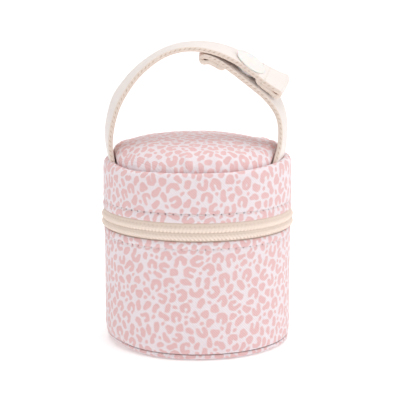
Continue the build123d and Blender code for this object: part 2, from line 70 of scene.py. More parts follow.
# ------------------------------------------------------------------ driving dimensions
MM = 0.001
TAU = 2 * math.pi
BODY_RADIUS, LID_RADIUS = 39.7, 40.0
CHAIN_Z = 53.1               # middle of the gap between the two zipper tapes
CHAIN_END = 24.0             # degrees from the back at which the zipper ends
STRAP_WIDTH, STRAP_THICK = 15.0, 2.1
HEM_LENGTH = 10.5            # length of a strap end that is folded back
FOLD_EYE = 0.22              # half the small eye inside the fold

# Stations of each strap's near outer edge: x, y, z, tilt of the strap's face in degrees.
LONG_STRAP = [
    (-35.2, -12.6, 73.0, 5), (-36.3, -13.1, 78.0, 7), (-37.1, -13.3, 85.3, 9),
    (-36.5, -13.3, 91.5, 11), (-35.1, -13.3, 97.5, 12), (-32.9, -13.3, 103.2, 13),
    (-29.8, -13.3, 108.6, 11), (-26.1, -13.3, 113.7, 9), (-21.6, -13.3, 118.2, 7),
    (-16.5, -13.3, 122.0, 5.5), (-11.0, -13.3, 124.6, 5), (-5.1, -13.3, 125.9, 5),
    (1.0, -13.3, 125.8, 7), (7.2, -13.3, 124.5, 10), (13.1, -13.3, 122.1, 13),
    (18.5, -13.3, 119.0, 16), (23.5, -13.3, 115.3, 19), (28.4, -13.3, 111.6, 23),
    (32.6, -13.3, 108.7, 27), (35.4, -13.3, 107.2, 29),
]
SHORT_STRAP = [
    (31.6, -18.9, 73.0, 13), (33.2, -18.5, 79.0, 13), (34.7, -17.4, 84.2, 12.5),
    (35.3, -16.4, 89.2, 11), (35.1, -15.3, 94.3, 10.5), (33.7, -14.3, 98.9, 12),
    (30.9, -13.6, 103.0, 16), (27.3, -13.3, 106.7, 20), (23.2, -13.3, 110.1, 19),
    (19.2, -13.3, 113.3, 17), (15.0, -13.3, 116.6, 14.5), (10.8, -13.3, 119.6, 12),
    (6.5, -13.3, 122.0, 10), (3.2, -13.3, 123.0, 8.5), (1.3, -13.3, 123.2, 8),
]


# ------------------------------------------------------------------ curves and numbers
def ease(x):
    """Smooth step from 0 to 1."""
    x = np.clip(x, 0.0, 1.0)
    return x * x * (3 - 2 * x)


def bell(x, width):
    return np.exp(-(x / width) ** 2)


def angle_from(angle, degrees):
    """Signed difference in radians from a direction given in degrees."""
    return (angle - math.radians(degrees) + math.pi) % TAU - math.pi


def unit(rows):
    return rows / np.linalg.norm(rows, axis=1)[:, None]


def polar(radius, angle, z):
    parts = np.broadcast_arrays(radius * np.cos(angle), radius * np.sin(angle), z)
    return np.stack(parts, -1)


def path_lengths(points):
    steps = np.linalg.norm(np.diff(points, axis=0), axis=1)
    return np.concatenate([[0], np.cumsum(steps)])


def interp_rows(at, lengths, rows):
    return np.stack([np.interp(at, lengths, column) for column in rows.T], -1)


def resample(points, step):
    """Evenly spaced points along an open polyline."""
    points = np.asarray(points, float)
    lengths = path_lengths(points)
    count = max(2, int(round(lengths[-1] / step)) + 1)
    return interp_rows(np.linspace(0, lengths[-1], count), lengths, points)


def resample_loop(points, step):
    """Evenly spaced points round a closed outline."""
    points = np.asarray(points, float)
    return resample(np.concatenate([points, points[:1]]), step)[:-1]


def rounded(points, radius, count, closed=True):
    """Round the corners of a polyline; radius is one value or one per corner."""
    points = [np.array(p, float) for p in points]
    last = len(points) - 1
    result = []
    for i, corner in enumerate(points):
        if not closed and i in (0, last):
            result.append(corner)
            continue
        before, after = points[i - 1], points[(i + 1) % len(points)]
        wanted = radius[i] if isinstance(radius, list) else radius
        to_before = np.linalg.norm(before - corner)
        to_after = np.linalg.norm(after - corner)
        cut = min(wanted, to_before * 0.48, to_after * 0.48)
        if cut < 1e-4:
            result.append(corner)
            continue
        start = corner + (before - corner) / to_before * cut
        end = corner + (after - corner) / to_after * cut
        for t in np.linspace(0, 1, count):
            result.append((1 - t) ** 2 * start + 2 * t * (1 - t) * corner + t * t * end)
    return np.array(result)


def skin_profile(outer, radius, step, inner, inner_step):
    """A finely stepped, rounded outer side joined to a coarse inner side."""
    return np.concatenate([resample(rounded(outer, radius, 5, closed=False), step),
                           resample(inner, inner_step)])


def ripple(angle, z, seed, waves, levels, length):
    """Smooth noise, about -1..1: up to `waves` turns round and `levels` along z."""
    gen = np.random.default_rng(seed)
    result = np.zeros(np.broadcast(angle, z).shape)
    total = 0
    for k in range(1, waves + 1):
        for j in range(0, levels + 1):
            amount = gen.normal() / (k ** 0.7 + j ** 1.1 * 0.8)
            turn, shift = gen.uniform(0, TAU, 2)
            result = result + (amount * np.cos(k * angle + turn)
                               * np.cos(j * math.pi * z / length + shift))
            total += amount * amount
    return result / math.sqrt(total + 1e-9) * 0.8


# ------------------------------------------------------------------ mesh helpers
def store(mesh, name, values):
    """Save one number or one vector per vertex as a named attribute."""
    values = np.asarray(values, np.float32)
    vector = values.ndim == 2
    attribute = mesh.attributes.new(name, "FLOAT_VECTOR" if vector else "FLOAT", "POINT")
    attribute.data.foreach_set("vector" if vector else "value", values.ravel())


def new_object(name, points, faces, materials=(), smooth=True, pat=None, face_slots=None):
    """Link a mesh object; points are in mm, pat holds the fabric coordinates in mm."""
    mesh = bpy.data.meshes.new(name)
    mesh.from_pydata([tuple(map(float, p)) for p in np.asarray(points) * MM], [],
                     [tuple(int(i) for i in face) for face in faces])
    mesh.validate()
    mesh.update()
    if pat is not None:
        store(mesh, "pat", pat)
    if smooth:
        mesh.polygons.foreach_set("use_smooth", [True] * len(mesh.polygons))
    piece = bpy.data.objects.new(name, mesh)
    bpy.context.scene.collection.objects.link(piece)
    for material in materials:
        mesh.materials.append(material)
    if face_slots is not None:
        mesh.polygons.foreach_set("material_index", np.asarray(face_slots, np.int32))
    mesh.update()
    return piece


def register(piece, slot, body, *nodes):
    if nodes:
        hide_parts(*nodes)
    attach(piece, body)


def coords(piece):
    flat = np.empty(len(piece.data.vertices) * 3)
    piece.data.vertices.foreach_get("co", flat)
    return flat.reshape(-1, 3) / MM


def set_coords(piece, points):
    piece.data.vertices.foreach_set("co", (points * MM).astype(np.float32).ravel())
    piece.data.update()


def fix_normals(piece):
    mesh = bmesh.new()
    mesh.from_mesh(piece.data)
    bmesh.ops.recalc_face_normals(mesh, faces=mesh.faces)
    mesh.to_mesh(piece.data)
    mesh.free()
    piece.data.update()


def grid_faces(rows, columns, wrap_rows=False, wrap_columns=False):
    row, column = np.meshgrid(np.arange(rows if wrap_rows else rows - 1),
                              np.arange(columns if wrap_columns else columns - 1),
                              indexing="ij")
    next_row, next_column = (row + 1) % rows, (column + 1) % columns
    return np.stack([row * columns + column, next_row * columns + column,
                     next_row * columns + next_column, row * columns + next_column],
                    -1).reshape(-1, 4)


def revolve(name, profile, material, count=360, arc=None, disp=None, closed=True, pat=None):
    """Turn an (r, z) profile, counter-clockwise so that faces look outwards, about z.

    arc is a start and end in degrees, or None for a full turn. disp(angle, radius, z,
    out, up) moves each point along the profile's normal, whose outward and upward parts
    are out and up. pat(angle, radius, z) gives the fabric coordinates.
    """
    profile = np.asarray(profile, float)
    rows = len(profile)
    after, before = np.roll(profile, -1, 0), np.roll(profile, 1, 0)
    if not closed:
        after[-1], before[0] = profile[-1], profile[0]
    tangent = after - before
    tangent /= np.maximum(np.linalg.norm(tangent, axis=1), 1e-9)[:, None]
    out, up = tangent[None, :, 1], -tangent[None, :, 0]
    if arc is None:
        angle = np.linspace(-math.pi, math.pi, count, endpoint=False) + math.pi / 2
    else:
        angle = np.radians(np.linspace(arc[0], arc[1], count))
    angle = angle[:, None]
    radius, z = profile[None, :, 0] + 0 * angle, profile[None, :, 1] + 0 * angle
    if disp is not None:
        offset = disp(angle, radius, z, out, up)
        radius, z = radius + offset * out, z + offset * up
    faces = list(grid_faces(count, rows, wrap_rows=arc is None, wrap_columns=closed))
    if arc is not None:
        faces += [range(rows - 1, -1, -1), range((count - 1) * rows, count * rows)]
    if pat is not None:
        pat = pat(angle + 0 * radius, radius, z).reshape(-1, 3)
    piece = new_object(name, polar(radius, angle, z).reshape(-1, 3), faces, [material], pat=pat)
    fix_normals(piece)
    return piece


def wall_pat(angle, radius, z, girth=39.8):
    """Fabric coordinates on a wall of radius `girth`, with the join at the back."""
    return np.stack([np.arctan2(np.cos(angle), -np.sin(angle)) * girth, z, 0 * z], -1)


def disc_pat(angle, radius, z, shift=0.0):
    """Fabric coordinates of cloth lying flat, shifted along the print."""
    return np.stack([radius * np.cos(angle) + shift, radius * np.sin(angle), 0 * z], -1)


def merge(name, parts, material):
    """One object from many (points, faces) parts."""
    starts = np.cumsum([0] + [len(points) for points, _ in parts])
    faces = [part_faces + start for (_, part_faces), start in zip(parts, starts)]
    points = np.concatenate([points for points, _ in parts])
    return new_object(name, points, np.concatenate(faces), [material])


def tube(path, radii, first_side, second_side, sides):
    angle = np.linspace(0, TAU, sides, endpoint=False)[None, :, None]
    ring = np.cos(angle) * first_side[:, None] + np.sin(angle) * second_side[:, None]
    points = path[:, None] + radii[:, None, None] * ring
    return points.reshape(-1, 3), grid_faces(len(path), sides, wrap_columns=True)


def thread(path, normals, radius, squash=1.0):
    """A length of thread whose ends taper shut."""
    tangent = unit(np.gradient(path, axis=0))
    normals = unit(normals - (normals * tangent).sum(1)[:, None] * tangent)
    from_middle = np.abs(np.linspace(0, 1, len(path)) - 0.5) * 2
    radii = radius * np.sqrt(np.clip(1 - from_middle ** 4, 0.0, 1)) + 0.02 * radius
    return tube(path, radii, normals * squash, np.cross(tangent, normals), sides=6)


def stitches(path, normals, pitch, length, radius, sink, rise, jitter,
             slant=0.0, count=7, start=0.0):
    """Stitches along a path; each rises in its middle, sinks at its ends and may slant."""
    lengths = path_lengths(path)
    gen = np.random.default_rng(5)
    lean = np.linspace(-1, 1, count)[:, None]
    parts = []
    while start + length <= lengths[-1] + 1e-6:
        first = start + gen.normal() * jitter
        at = np.linspace(first, first + length, count)
        points = interp_rows(at, lengths, path)
        outward = unit(interp_rows(at, lengths, normals))
        points = points + outward * (rise - (rise + sink) * np.abs(lean) ** 2.5)
        along = points[-1] - points[0]
        sideways = np.cross(outward[count // 2], along / np.linalg.norm(along))
        points = points + sideways * (lean * slant)
        parts.append(thread(points, outward, radius, squash=0.75))
        start += pitch
    return parts


# ------------------------------------------------------------------ the animal-spot print
SPOT_TILE, SPOT_CELLS = 124.7, 500     # the repeating square and its cells per side
SPOT_GAP = 0.54                        # least space between two spots
SPOT_SCALE = 1.06                      # the finished tile is enlarged by this
SPOT_KINDS = ["ring", "arch", "bar", "oval", "blob"]
# Clear distance that a place needs before each kind is tried there.
SPOT_ROOM = {"ring": 2.15, "arch": 2.15, "blob": 2.0, "bar": 1.6, "oval": 1.55}
# Packing rounds: nearest and farthest clear distance, share of each kind, tries.
SPOT_ROUNDS = [
    (2.1, 2.9, [0.25, 0.26, 0.24, 0.17, 0.08], 3200),
    (1.6, 9.0, [0.10, 0.10, 0.42, 0.34, 0.04], 1800),
]


def stroke_distance(px, py, radii, x, y):
    """Distance to a chain of rounded strokes whose width changes along it."""
    best = 99.0
    for i in range(len(px) - 1):
        from_x, from_y = x - px[i], y - py[i]
        run_x, run_y = px[i + 1] - px[i], py[i + 1] - py[i]
        t = (from_x * run_x + from_y * run_y) / (run_x * run_x + run_y * run_y + 1e-9)
        t = np.clip(t, 0, 1)
        gap = np.hypot(from_x - run_x * t, from_y - run_y * t)
        best = np.minimum(best, gap - (radii[i] + (radii[i + 1] - radii[i]) * t))
    return best


def spot_stroke(gen, kind, size):
    """A random spot: its stroke's points and radii, about 0, and its reach."""
    if kind == "ring":
        # an open ring
        opening = gen.choice([200, 230, 255, 280, 315], p=[0.24, 0.26, 0.24, 0.16, 0.10])
        sweep = math.radians(opening + gen.uniform(-12, 12))
        angle = np.linspace(-sweep / 2, sweep / 2, 13)
        ring = 1.50 * size * gen.uniform(0.92, 1.12)
        stretch = gen.uniform(0.86, 1.22)
        x, y = ring * np.cos(angle) * stretch, ring * np.sin(angle) / stretch
        width = 0.80 * size * gen.uniform(0.92, 1.08)
        radii = width * (1 + 0.26 * np.cos(angle + gen.uniform(-1.2, 1.2))
                         + 0.10 * np.cos(3 * angle + gen.uniform(0, 6)))
    elif kind == "arch":
        # a horseshoe with straight legs, one often shorter
        half = 1.30 * size * gen.uniform(0.85, 1.1)
        leg_a, leg_b = gen.uniform(0.6, 2.5) * size, gen.uniform(0.2, 2.0) * size
        angle = np.linspace(math.pi, 0, 8)
        foot = half * gen.uniform(0.7, 1.05)
        x = np.concatenate([[-half * 0.95], half * np.cos(angle), [foot]])
        y = np.concatenate([[-leg_a], 0.85 * half * np.sin(angle), [-leg_b]])
        width = 0.76 * size * gen.uniform(0.92, 1.1)
        radii = width * (1 + 0.16 * np.sin(np.linspace(0, math.pi, len(x)))
                         + 0.12 * np.cos(np.linspace(0, 5, len(x)) + gen.uniform(0, 6)))
    elif kind == "bar":
        length, bend = gen.uniform(1.5, 2.9) * size, gen.uniform(-0.9, 0.9) * size
        t = np.linspace(-0.5, 0.5, 6)
        x, y = length * t, bend * (0.25 - t * t) * 2.2
        width = gen.uniform(0.88, 1.08) * size
        radii = width * (1 + 0.18 * np.cos(t * 5 + gen.uniform(0, 6)))
    elif kind == "oval":
        length = gen.uniform(1.2, 2.3) * size
        x, y = np.array([-length / 2, length / 2]), np.array([0.0, 0.0])
        width = gen.uniform(1.0, 1.3) * size
        radii = np.array([width, width * gen.uniform(0.72, 1.0)])
    elif kind == "blob":
        # a rounded triangle
        angle = gen.uniform(0, 6.28) + np.array([0, 2.1, 4.2, 6.28])
        spread = gen.uniform(0.55, 0.95, 3) * size
        spread = np.append(spread, spread[0])
        x, y = spread * np.cos(angle), spread * np.sin(angle)
        swell = gen.uniform(0.85, 1.12, 3)
        radii = 1.05 * size * np.append(swell, swell[0])
    else:
        # a dot
        length = gen.uniform(0.2, 0.8) * size
        x, y = np.array([-length / 2, length / 2]), np.array([0.0, 0.0])
        radii = np.array([0.72, 0.66]) * size
    if kind in ("ring", "arch"):
        x, y = x - x.mean() * 0.8, y - y.mean() * 0.8
    turn = gen.uniform(0, TAU)
    if kind in ("bar", "oval") and gen.random() < 0.6:
        turn = gen.normal(math.pi / 2, 0.5)
    if kind in ("ring", "arch") and gen.random() < 0.5:
        quarter = math.pi / 2 if kind == "ring" else 0.0
        turn = gen.choice([0.0, math.pi, 0.0]) + gen.normal(0, 0.45) + quarter
    cos, sin = math.cos(turn), math.sin(turn)
    x, y = x * cos - y * sin, x * sin + y * cos
    return x, y, radii, float((np.hypot(x, y) + radii).max())


def spot_field():
    """Distance field of the repeating print, and the size of its cells."""
    gen = np.random.default_rng(4)
    cell = SPOT_TILE / SPOT_CELLS
    field = np.full((SPOT_CELLS, SPOT_CELLS), 9.0)

    def place(i, j, kind, size, slides=11):
        """Add a spot at a cell, sliding it off its neighbours; give up if it won't fit."""
        center_x, center_y = (i + 0.5) * cell, (j + 0.5) * cell
        px, py, radii, reach = spot_stroke(gen, kind, size)
        half = int((reach + 1.5) / cell) + 2
        for _ in range(slides):
            near_i = np.arange(-half, half + 1) + int(center_x / cell)
            near_j = np.arange(-half, half + 1) + int(center_y / cell)
            x, y = (near_i + 0.5) * cell - center_x, (near_j + 0.5) * cell - center_y
            shape = stroke_distance(px, py, radii, x[:, None], y[None, :])
            window = np.ix_(near_i % SPOT_CELLS, near_j % SPOT_CELLS)
            room = field[window] + shape
            tight = np.unravel_index(np.argmin(room), room.shape)
            lack = SPOT_GAP - room[tight]
            if lack <= 0:
                field[window] = np.minimum(field[window], shape)
                return
            if lack > 1.5:
                return
            # step away from the tightest place
            away = np.array([x[tight[0]], y[tight[1]]])
            away = away / (np.linalg.norm(away) + 1e-6)
            center_x -= away[0] * (lack + 0.05)
            center_y -= away[1] * (lack + 0.05)

    # close packing: each new spot goes beside the ones already there
    for nearest, farthest, shares, tries in SPOT_ROUNDS:
        for k in range(tries):
            if k % 40 == 0:
                free = np.argwhere((field > nearest) & (field < farthest))
                if len(free) < 5:
                    free = np.argwhere(field > nearest)
                if not len(free):
                    break
            kind = SPOT_KINDS[int(gen.choice(5, p=shares))]
            i, j = free[gen.integers(len(free))]
            if field[i, j] >= SPOT_ROOM[kind]:
                place(i, j, kind, gen.uniform(0.96, 1.16))
    # dots and small ovals in the largest gaps that remain
    for least, size in ((1.42, 1.0), (1.30, 0.9)):
        for _ in range(4):
            free = np.argwhere(field > least)
            gen.shuffle(free)
            for i, j in free:
                if field[i, j] > 1.9:
                    place(i, j, "oval", size * gen.uniform(0.9, 1.1), slides=5)
                elif field[i, j] > least:
                    place(i, j, "dot", size, slides=5)
    return field * SPOT_SCALE, cell * SPOT_SCALE


SPOTS, SPOT_CELL = spot_field()


def spot_distance(pat):
    """Signed distance to the nearest spot's edge at fabric coordinates (n, 3)."""
    x, y = pat[:, 0], pat[:, 1]
    # a slight waver, as in hand-drawn edges
    waver_x = (0.13 * np.sin(y * 2.3 + 1.1 * np.sin(x * 0.9))
               + 0.09 * np.sin(y * 4.6 + x * 1.7))
    waver_y = (0.13 * np.sin(x * 2.1 + 1.3 * np.sin(y * 0.8))
               + 0.09 * np.sin(x * 4.9 - y * 1.3))
    u, v = (x + waver_x) / SPOT_CELL - 0.5, (y + waver_y) / SPOT_CELL - 0.5
    i, j = np.floor(u).astype(int), np.floor(v).astype(int)
    u, v = u - i, v - j
    i, j = i % SPOT_CELLS, j % SPOT_CELLS
    next_i, next_j = (i + 1) % SPOT_CELLS, (j + 1) % SPOT_CELLS
    return (SPOTS[i, j] * (1 - u) * (1 - v) + SPOTS[next_i, j] * u * (1 - v)
            + SPOTS[i, next_j] * (1 - u) * v + SPOTS[next_i, next_j] * u * v)


def print_spots(piece):
    """Store the distance to the nearest spot's edge on every vertex."""
    mesh = piece.data
    pat = np.empty(len(mesh.vertices) * 3, np.float32)
    mesh.attributes["pat"].data.foreach_get("vector", pat)
    distance = spot_distance(pat.reshape(-1, 3).astype(float))
    store(mesh, "spot", np.clip(distance, -3, 3))
    mesh.update()


# ------------------------------------------------------------------ shader helpers
def rgb(code):
    """Linear colour from an sRGB hex code."""
    parts = [int(code[i:i + 2], 16) / 255 for i in (1, 3, 5)]
    linear = [c / 12.92 if c <= 0.04045 else ((c + 0.055) / 1.055) ** 2.4 for c in parts]
    return (*linear, 1.0)


def put(tree, socket, value):
    """Link a socket's value, or set it; a string is a colour code."""
    if isinstance(value, bpy.types.NodeSocket):
        tree.links.new(value, socket)
    else:
        socket.default_value = rgb(value) if isinstance(value, str) else value


def map_range(tree, value, from_min, from_max, to_min, to_max):
    node = tree.nodes.new("ShaderNodeMapRange")
    limits = {"Value": value, "From Min": from_min, "From Max": from_max,
              "To Min": to_min, "To Max": to_max}
    for name, limit in limits.items():
        put(tree, node.inputs[name], limit)
    return node.outputs["Result"]


class Shader:
    """A material under construction; methods add a node and return its output."""

    def __init__(self, name):
        self.material = bpy.data.materials.new(name)
        self.material.use_nodes = True
        self.tree = self.material.node_tree
        self.tree.nodes.clear()
        output = self.node("ShaderNodeOutputMaterial")
        self.bsdf = self.node("ShaderNodeBsdfPrincipled")
        self.tree.links.new(self.bsdf.outputs[0], output.inputs[0])

    def node(self, kind, inputs=(), **settings):
        """Add a node; inputs are (socket name or number, value) pairs."""
        node = self.tree.nodes.new(kind)
        for name, value in settings.items():
            setattr(node, name, value)
        for key, value in inputs:
            put(self.tree, node.inputs[key], value)
        return node

    def calc(self, operation, *values):
        return self.node("ShaderNodeMath", enumerate(values), operation=operation).outputs[0]

    def add(self, a, b):
        return self.calc("ADD", a, b)

    def sub(self, a, b):
        return self.calc("SUBTRACT", a, b)

    def mul(self, a, b):
        return self.calc("MULTIPLY", a, b)

    def sine(self, value, pitch):
        """A wave that repeats every `pitch` mm."""
        return self.calc("SINE", self.mul(value, TAU / pitch))

    def split(self, vector):
        return self.node("ShaderNodeSeparateXYZ", [(0, vector)]).outputs

    def combine(self, x, y, z):
        return self.node("ShaderNodeCombineXYZ", enumerate((x, y, z))).outputs[0]

    def stretch(self, vector, factors):
        return self.node("ShaderNodeVectorMath", [(0, vector), (1, factors)],
                         operation="MULTIPLY").outputs[0]

    def step(self, value, low, high):
        return self.node("ShaderNodeMapRange", [(0, value), (1, low), (2, high)],
                         interpolation_type="SMOOTHSTEP").outputs[0]

    def mix(self, factor, a, b, blend="MIX"):
        return self.node("ShaderNodeMix", [(0, factor), (6, a), (7, b)],
                         data_type="RGBA", blend_type=blend).outputs[2]

    def noise(self, vector, scale, detail, rough):
        return self.node("ShaderNodeTexNoise", [
            ("Vector", vector), ("Scale", scale), ("Detail", detail), ("Roughness", rough),
        ]).outputs["Fac"]

    def cells(self, vector, scale):
        """Distance from the middle of small random cells."""
        return self.node("ShaderNodeTexVoronoi", [("Scale", scale), ("Vector", vector)],
                         feature="F1").outputs["Distance"]

    def object_mm(self):
        place = self.node("ShaderNodeTexCoord").outputs["Object"]
        return self.node("ShaderNodeVectorMath", [(0, place), (3, 1000.0)],
                         operation="SCALE").outputs[0]

    def fabric_mm(self):
        return self.node("ShaderNodeAttribute", attribute_name="pat").outputs["Vector"]

    def value_of(self, name):
        return self.node("ShaderNodeAttribute", attribute_name=name,
                         attribute_type="GEOMETRY").outputs["Fac"]

    def worn(self, low, high):
        """1 on convex edges, 0 elsewhere."""
        return self.step(self.node("ShaderNodeNewGeometry").outputs["Pointiness"], low, high)

    def bump(self, height, strength, dist):
        """dist is in metres."""
        return self.node("ShaderNodeBump", [
            ("Strength", strength), ("Distance", dist), ("Height", height)]).outputs[0]

    def finish(self, color, rough, normal, spec, metallic=0.0, sheen=0.0,
               subsurface=0.0, coat=0.0, transmission=0.0):
        values = {"Base Color": color, "Roughness": rough, "Specular IOR Level": spec,
                  "Metallic": metallic, "Normal": normal}
        if sheen:
            values.update({"Sheen Weight": sheen, "Sheen Roughness": 0.4})
        if subsurface:
            values.update({"Subsurface Weight": subsurface, "Subsurface Scale": 0.002})
        if coat:
            values.update({"Coat Weight": coat, "Coat Roughness": 0.15})
        if transmission:
            values["Transmission Weight"] = transmission
        for name, value in values.items():
            put(self.tree, self.bsdf.inputs[name], value)
        return self.material


# ------------------------------------------------------------------ materials
# In the mixes below each factor weighs one pattern (each about 0..1) against the others.
def twill(mat, place, pitch):
    """Height 0..1 of a fine diagonal weave."""
    x, y, _ = mat.split(place)
    # y times 1: a weave that leans at 45 degrees
    ribs = mat.sine(mat.add(x, mat.mul(y, 1.0)), pitch * 1.414)
    cross = mat.sine(mat.sub(x, mat.mul(y, 1.0)), pitch * 0.95)
    return mat.add(mat.mul(ribs, 0.36), mat.add(mat.mul(cross, 0.16), 0.5))


def plain_weave(mat, place, pitch):
    """Height 0..1 of two crossed sets of yarns."""
    x, y, _ = mat.split(place)
    crossed = mat.mul(mat.sine(x, pitch), mat.sine(y, pitch))
    return mat.add(0.5, mat.mul(crossed, 0.5))


def printed_fabric(name):
    """Spots on a fine diagonal weave; their outlines come from the mesh's "spot" value."""
    mat = Shader(name)
    place = mat.fabric_mm()
    distance = mat.value_of("spot")
    # the weave frays the outline by up to 0.15 mm and blurs it over 0.22 mm
    fray = mat.noise(place, scale=2.6, detail=2.0, rough=0.6)
    distance = mat.add(distance, mat.mul(mat.sub(fray, 0.5), 0.30))
    spot = mat.step(distance, low=0.11, high=-0.11)
    weave = twill(mat, place, pitch=0.74)
    broad = mat.noise(place, scale=0.05, detail=3.0, rough=0.5)
    ground = mat.mix(broad, "#F1E4E8", "#F5EAEE")
    patchy = mat.noise(place, scale=0.35, detail=2.0, rough=0.5)
    tone = mat.add(mat.mul(patchy, 0.6), mat.mul(broad, 0.4))
    color = mat.mix(spot, ground, mat.mix(tone, "#E8BEBE", "#EFC9C8"))
    fibre = mat.noise(place, scale=5.5, detail=2.0, rough=0.6)
    # the dips of the weave are about a tenth darker
    light = mat.add(0.890, mat.add(mat.mul(weave, 0.115), mat.mul(fibre, 0.06)))
    color = mat.mix(1.0, color, mat.combine(light, light, light), blend="MULTIPLY")
    height = mat.add(mat.mul(weave, 0.8), mat.mul(fibre, 0.5))
    return mat.finish(color, rough=mat.add(0.72, mat.mul(fibre, 0.15)),
                      normal=mat.bump(height, strength=0.6, dist=0.00014),
                      sheen=0.30, spec=0.20)


def weave_fabric(name, dark, light, pitch, bump=0.5):
    mat = Shader(name)
    place = mat.fabric_mm()
    weave = plain_weave(mat, place, pitch)
    broad = mat.noise(place, scale=0.08, detail=3.0, rough=0.5)
    fibre = mat.noise(place, scale=4.0, detail=3.0, rough=0.6)
    color = mat.mix(mat.add(mat.mul(weave, 0.45), mat.mul(broad, 0.5)), dark, light)
    # a few darker fibres
    color = mat.mix(mat.mul(mat.step(fibre, low=0.55, high=0.8), 0.25), color, dark)
    height = mat.add(weave, mat.mul(fibre, 0.6))
    return mat.finish(color, rough=mat.add(0.75, mat.mul(fibre, 0.15)),
                      normal=mat.bump(height, strength=bump, dist=0.00012),
                      sheen=0.15, spec=0.2)


def zipper_face(name, dark, light, painted_shade):
    """Fine weave over the coil; the mesh's groove value mixes painted shade into its dips and
    along its edges, and a darker tone onto its tape strip.
    """
    mat = Shader(name)
    place = mat.fabric_mm()
    groove = mat.value_of("groove")
    weave = plain_weave(mat, place, pitch=0.36)
    broad = mat.noise(place, scale=0.08, detail=3.0, rough=0.5)
    fibre = mat.noise(place, scale=4.0, detail=3.0, rough=0.6)
    rest = mat.add(mat.mul(broad, 0.35), mat.mul(fibre, 0.2))
    color = mat.mix(mat.add(mat.mul(weave, 0.4), rest), dark, light)
    # painted shade: the groove value mixes in the darker colour
    color = mat.mix(mat.calc("MINIMUM", groove, 1.0), color, painted_shade)
    height = mat.add(weave, mat.mul(fibre, 0.6))
    return mat.finish(color, rough=mat.add(0.72, mat.mul(fibre, 0.15)),
                      normal=mat.bump(height, strength=0.35, dist=0.00012),
                      sheen=0.15, spec=0.2)


def foam_material(name):
    mat = Shader(name)
    place = mat.object_mm()
    pores = mat.cells(place, scale=1.6)
    patchy = mat.noise(place, scale=0.3, detail=4.0, rough=0.6)
    color = mat.mix(mat.mul(pores, 0.8), "#F2EEE6", "#DDD6C8")
    color = mat.mix(mat.mul(patchy, 0.4), color, "#F8F5EE")
    return mat.finish(color, rough=0.95, spec=0.1,
                      normal=mat.bump(pores, strength=0.8, dist=0.0003))


def strap_face(name, dark, light, soiled):
    """Smooth coated strap with a very fine pebble grain and faint soiling."""
    mat = Shader(name)
    place = mat.fabric_mm()
    pebbles = mat.cells(place, scale=2.3)
    broad = mat.noise(place, scale=0.09, detail=4.0, rough=0.55)
    patchy = mat.noise(place, scale=0.7, detail=4.0, rough=0.6)
    color = mat.mix(broad, dark, light)
    color = mat.mix(mat.mul(mat.step(patchy, low=0.55, high=0.78), 0.25), color, soiled)
    height = mat.add(mat.mul(pebbles, 0.5), mat.mul(patchy, 0.7))
    return mat.finish(color, rough=mat.add(0.46, mat.mul(patchy, 0.18)),
                      normal=mat.bump(height, strength=0.35, dist=0.00010),
                      sheen=0.08, spec=0.32)


def strap_edge(name, dark, light):
    """Cut and painted edge: layered, with fibres drawn out along the strap."""
    mat = Shader(name)
    x, y, z = mat.split(mat.fabric_mm())
    drawn = mat.combine(mat.mul(x, 0.5), y, mat.mul(z, 3.0))
    fibre = mat.noise(drawn, scale=1.6, detail=4.0, rough=0.65)
    layers = mat.sine(z, pitch=0.75)
    color = mat.mix(mat.add(mat.mul(fibre, 0.7), mat.mul(layers, 0.12)), dark, light)
    height = mat.add(fibre, mat.mul(layers, 0.25))
    return mat.finish(color, rough=mat.add(0.6, mat.mul(fibre, 0.2)), spec=0.25,
                      normal=mat.bump(height, strength=0.5, dist=0.00015))


def thread_material(name, dark, light):
    mat = Shader(name)
    place = mat.object_mm()
    x, y, z = mat.split(place)
    twist = mat.sine(mat.add(mat.add(x, y), z), pitch=0.55)
    fibre = mat.noise(place, scale=2.0, detail=3.0, rough=0.6)
    color = mat.mix(mat.add(mat.mul(twist, 0.2), mat.mul(fibre, 0.7)), dark, light)
    return mat.finish(color, rough=0.62, sheen=0.15, spec=0.3,
                      normal=mat.bump(mat.add(twist, fibre), strength=0.5, dist=0.00006))


def hole_shade_material(name):
    # painted shade: the inside of each needle hole is coloured dark
    mat = Shader(name)
    patchy = mat.noise(mat.object_mm(), scale=3.0, detail=2.0, rough=0.55)
    return mat.finish(mat.mix(patchy, "#5B4A55", "#7B6570"), rough=0.9, spec=0.05,
                      normal=mat.bump(patchy, strength=0.4, dist=0.0001))


def plastic(name, dark, light, rough=0.35, subsurface=0.15, bump=0.12, transmission=0.0):
    mat = Shader(name)
    place = mat.object_mm()
    broad = mat.noise(place, scale=0.06, detail=4.0, rough=0.5)
    grain = mat.noise(place, scale=1.8, detail=3.0, rough=0.6)
    # long flat marks: the noise is drawn out sideways
    scuffs = mat.noise(mat.stretch(place, (0.3, 0.3, 2.5)), scale=1.1, detail=2.0, rough=0.7)
    color = mat.mix(broad, dark, light)
    bright = tuple(min(1, c * 1.08) for c in rgb(light))
    color = mat.mix(mat.mul(mat.worn(low=0.52, high=0.60), 0.25), color, bright)
    height = mat.add(grain, mat.mul(scuffs, 0.4))
    uneven = mat.add(mat.mul(mat.sub(grain, 0.5), 0.12),
                     mat.mul(mat.step(scuffs, low=0.6, high=0.8), 0.08))
    return mat.finish(color, rough=mat.add(rough, uneven), spec=0.5, subsurface=subsurface,
                      normal=mat.bump(height, strength=bump, dist=0.00008),
                      transmission=transmission)


def enamel(name, dark, light):
    """Coated metal that shows through on worn edges."""
    mat = Shader(name)
    place = mat.object_mm()
    patchy = mat.noise(place, scale=0.4, detail=4.0, rough=0.6)
    grain = mat.noise(mat.stretch(place, (3.0, 3.0, 0.4)), scale=1.8, detail=3.0, rough=0.6)
    worn = mat.worn(low=0.53, high=0.62)
    color = mat.mix(mat.mul(worn, 0.5), mat.mix(patchy, dark, light), "#CFC6B8")
    return mat.finish(color, rough=mat.add(0.26, mat.mul(grain, 0.14)), spec=0.55,
                      normal=mat.bump(grain, strength=0.12, dist=0.00006),
                      metallic=mat.mul(worn, 0.6), coat=0.3)


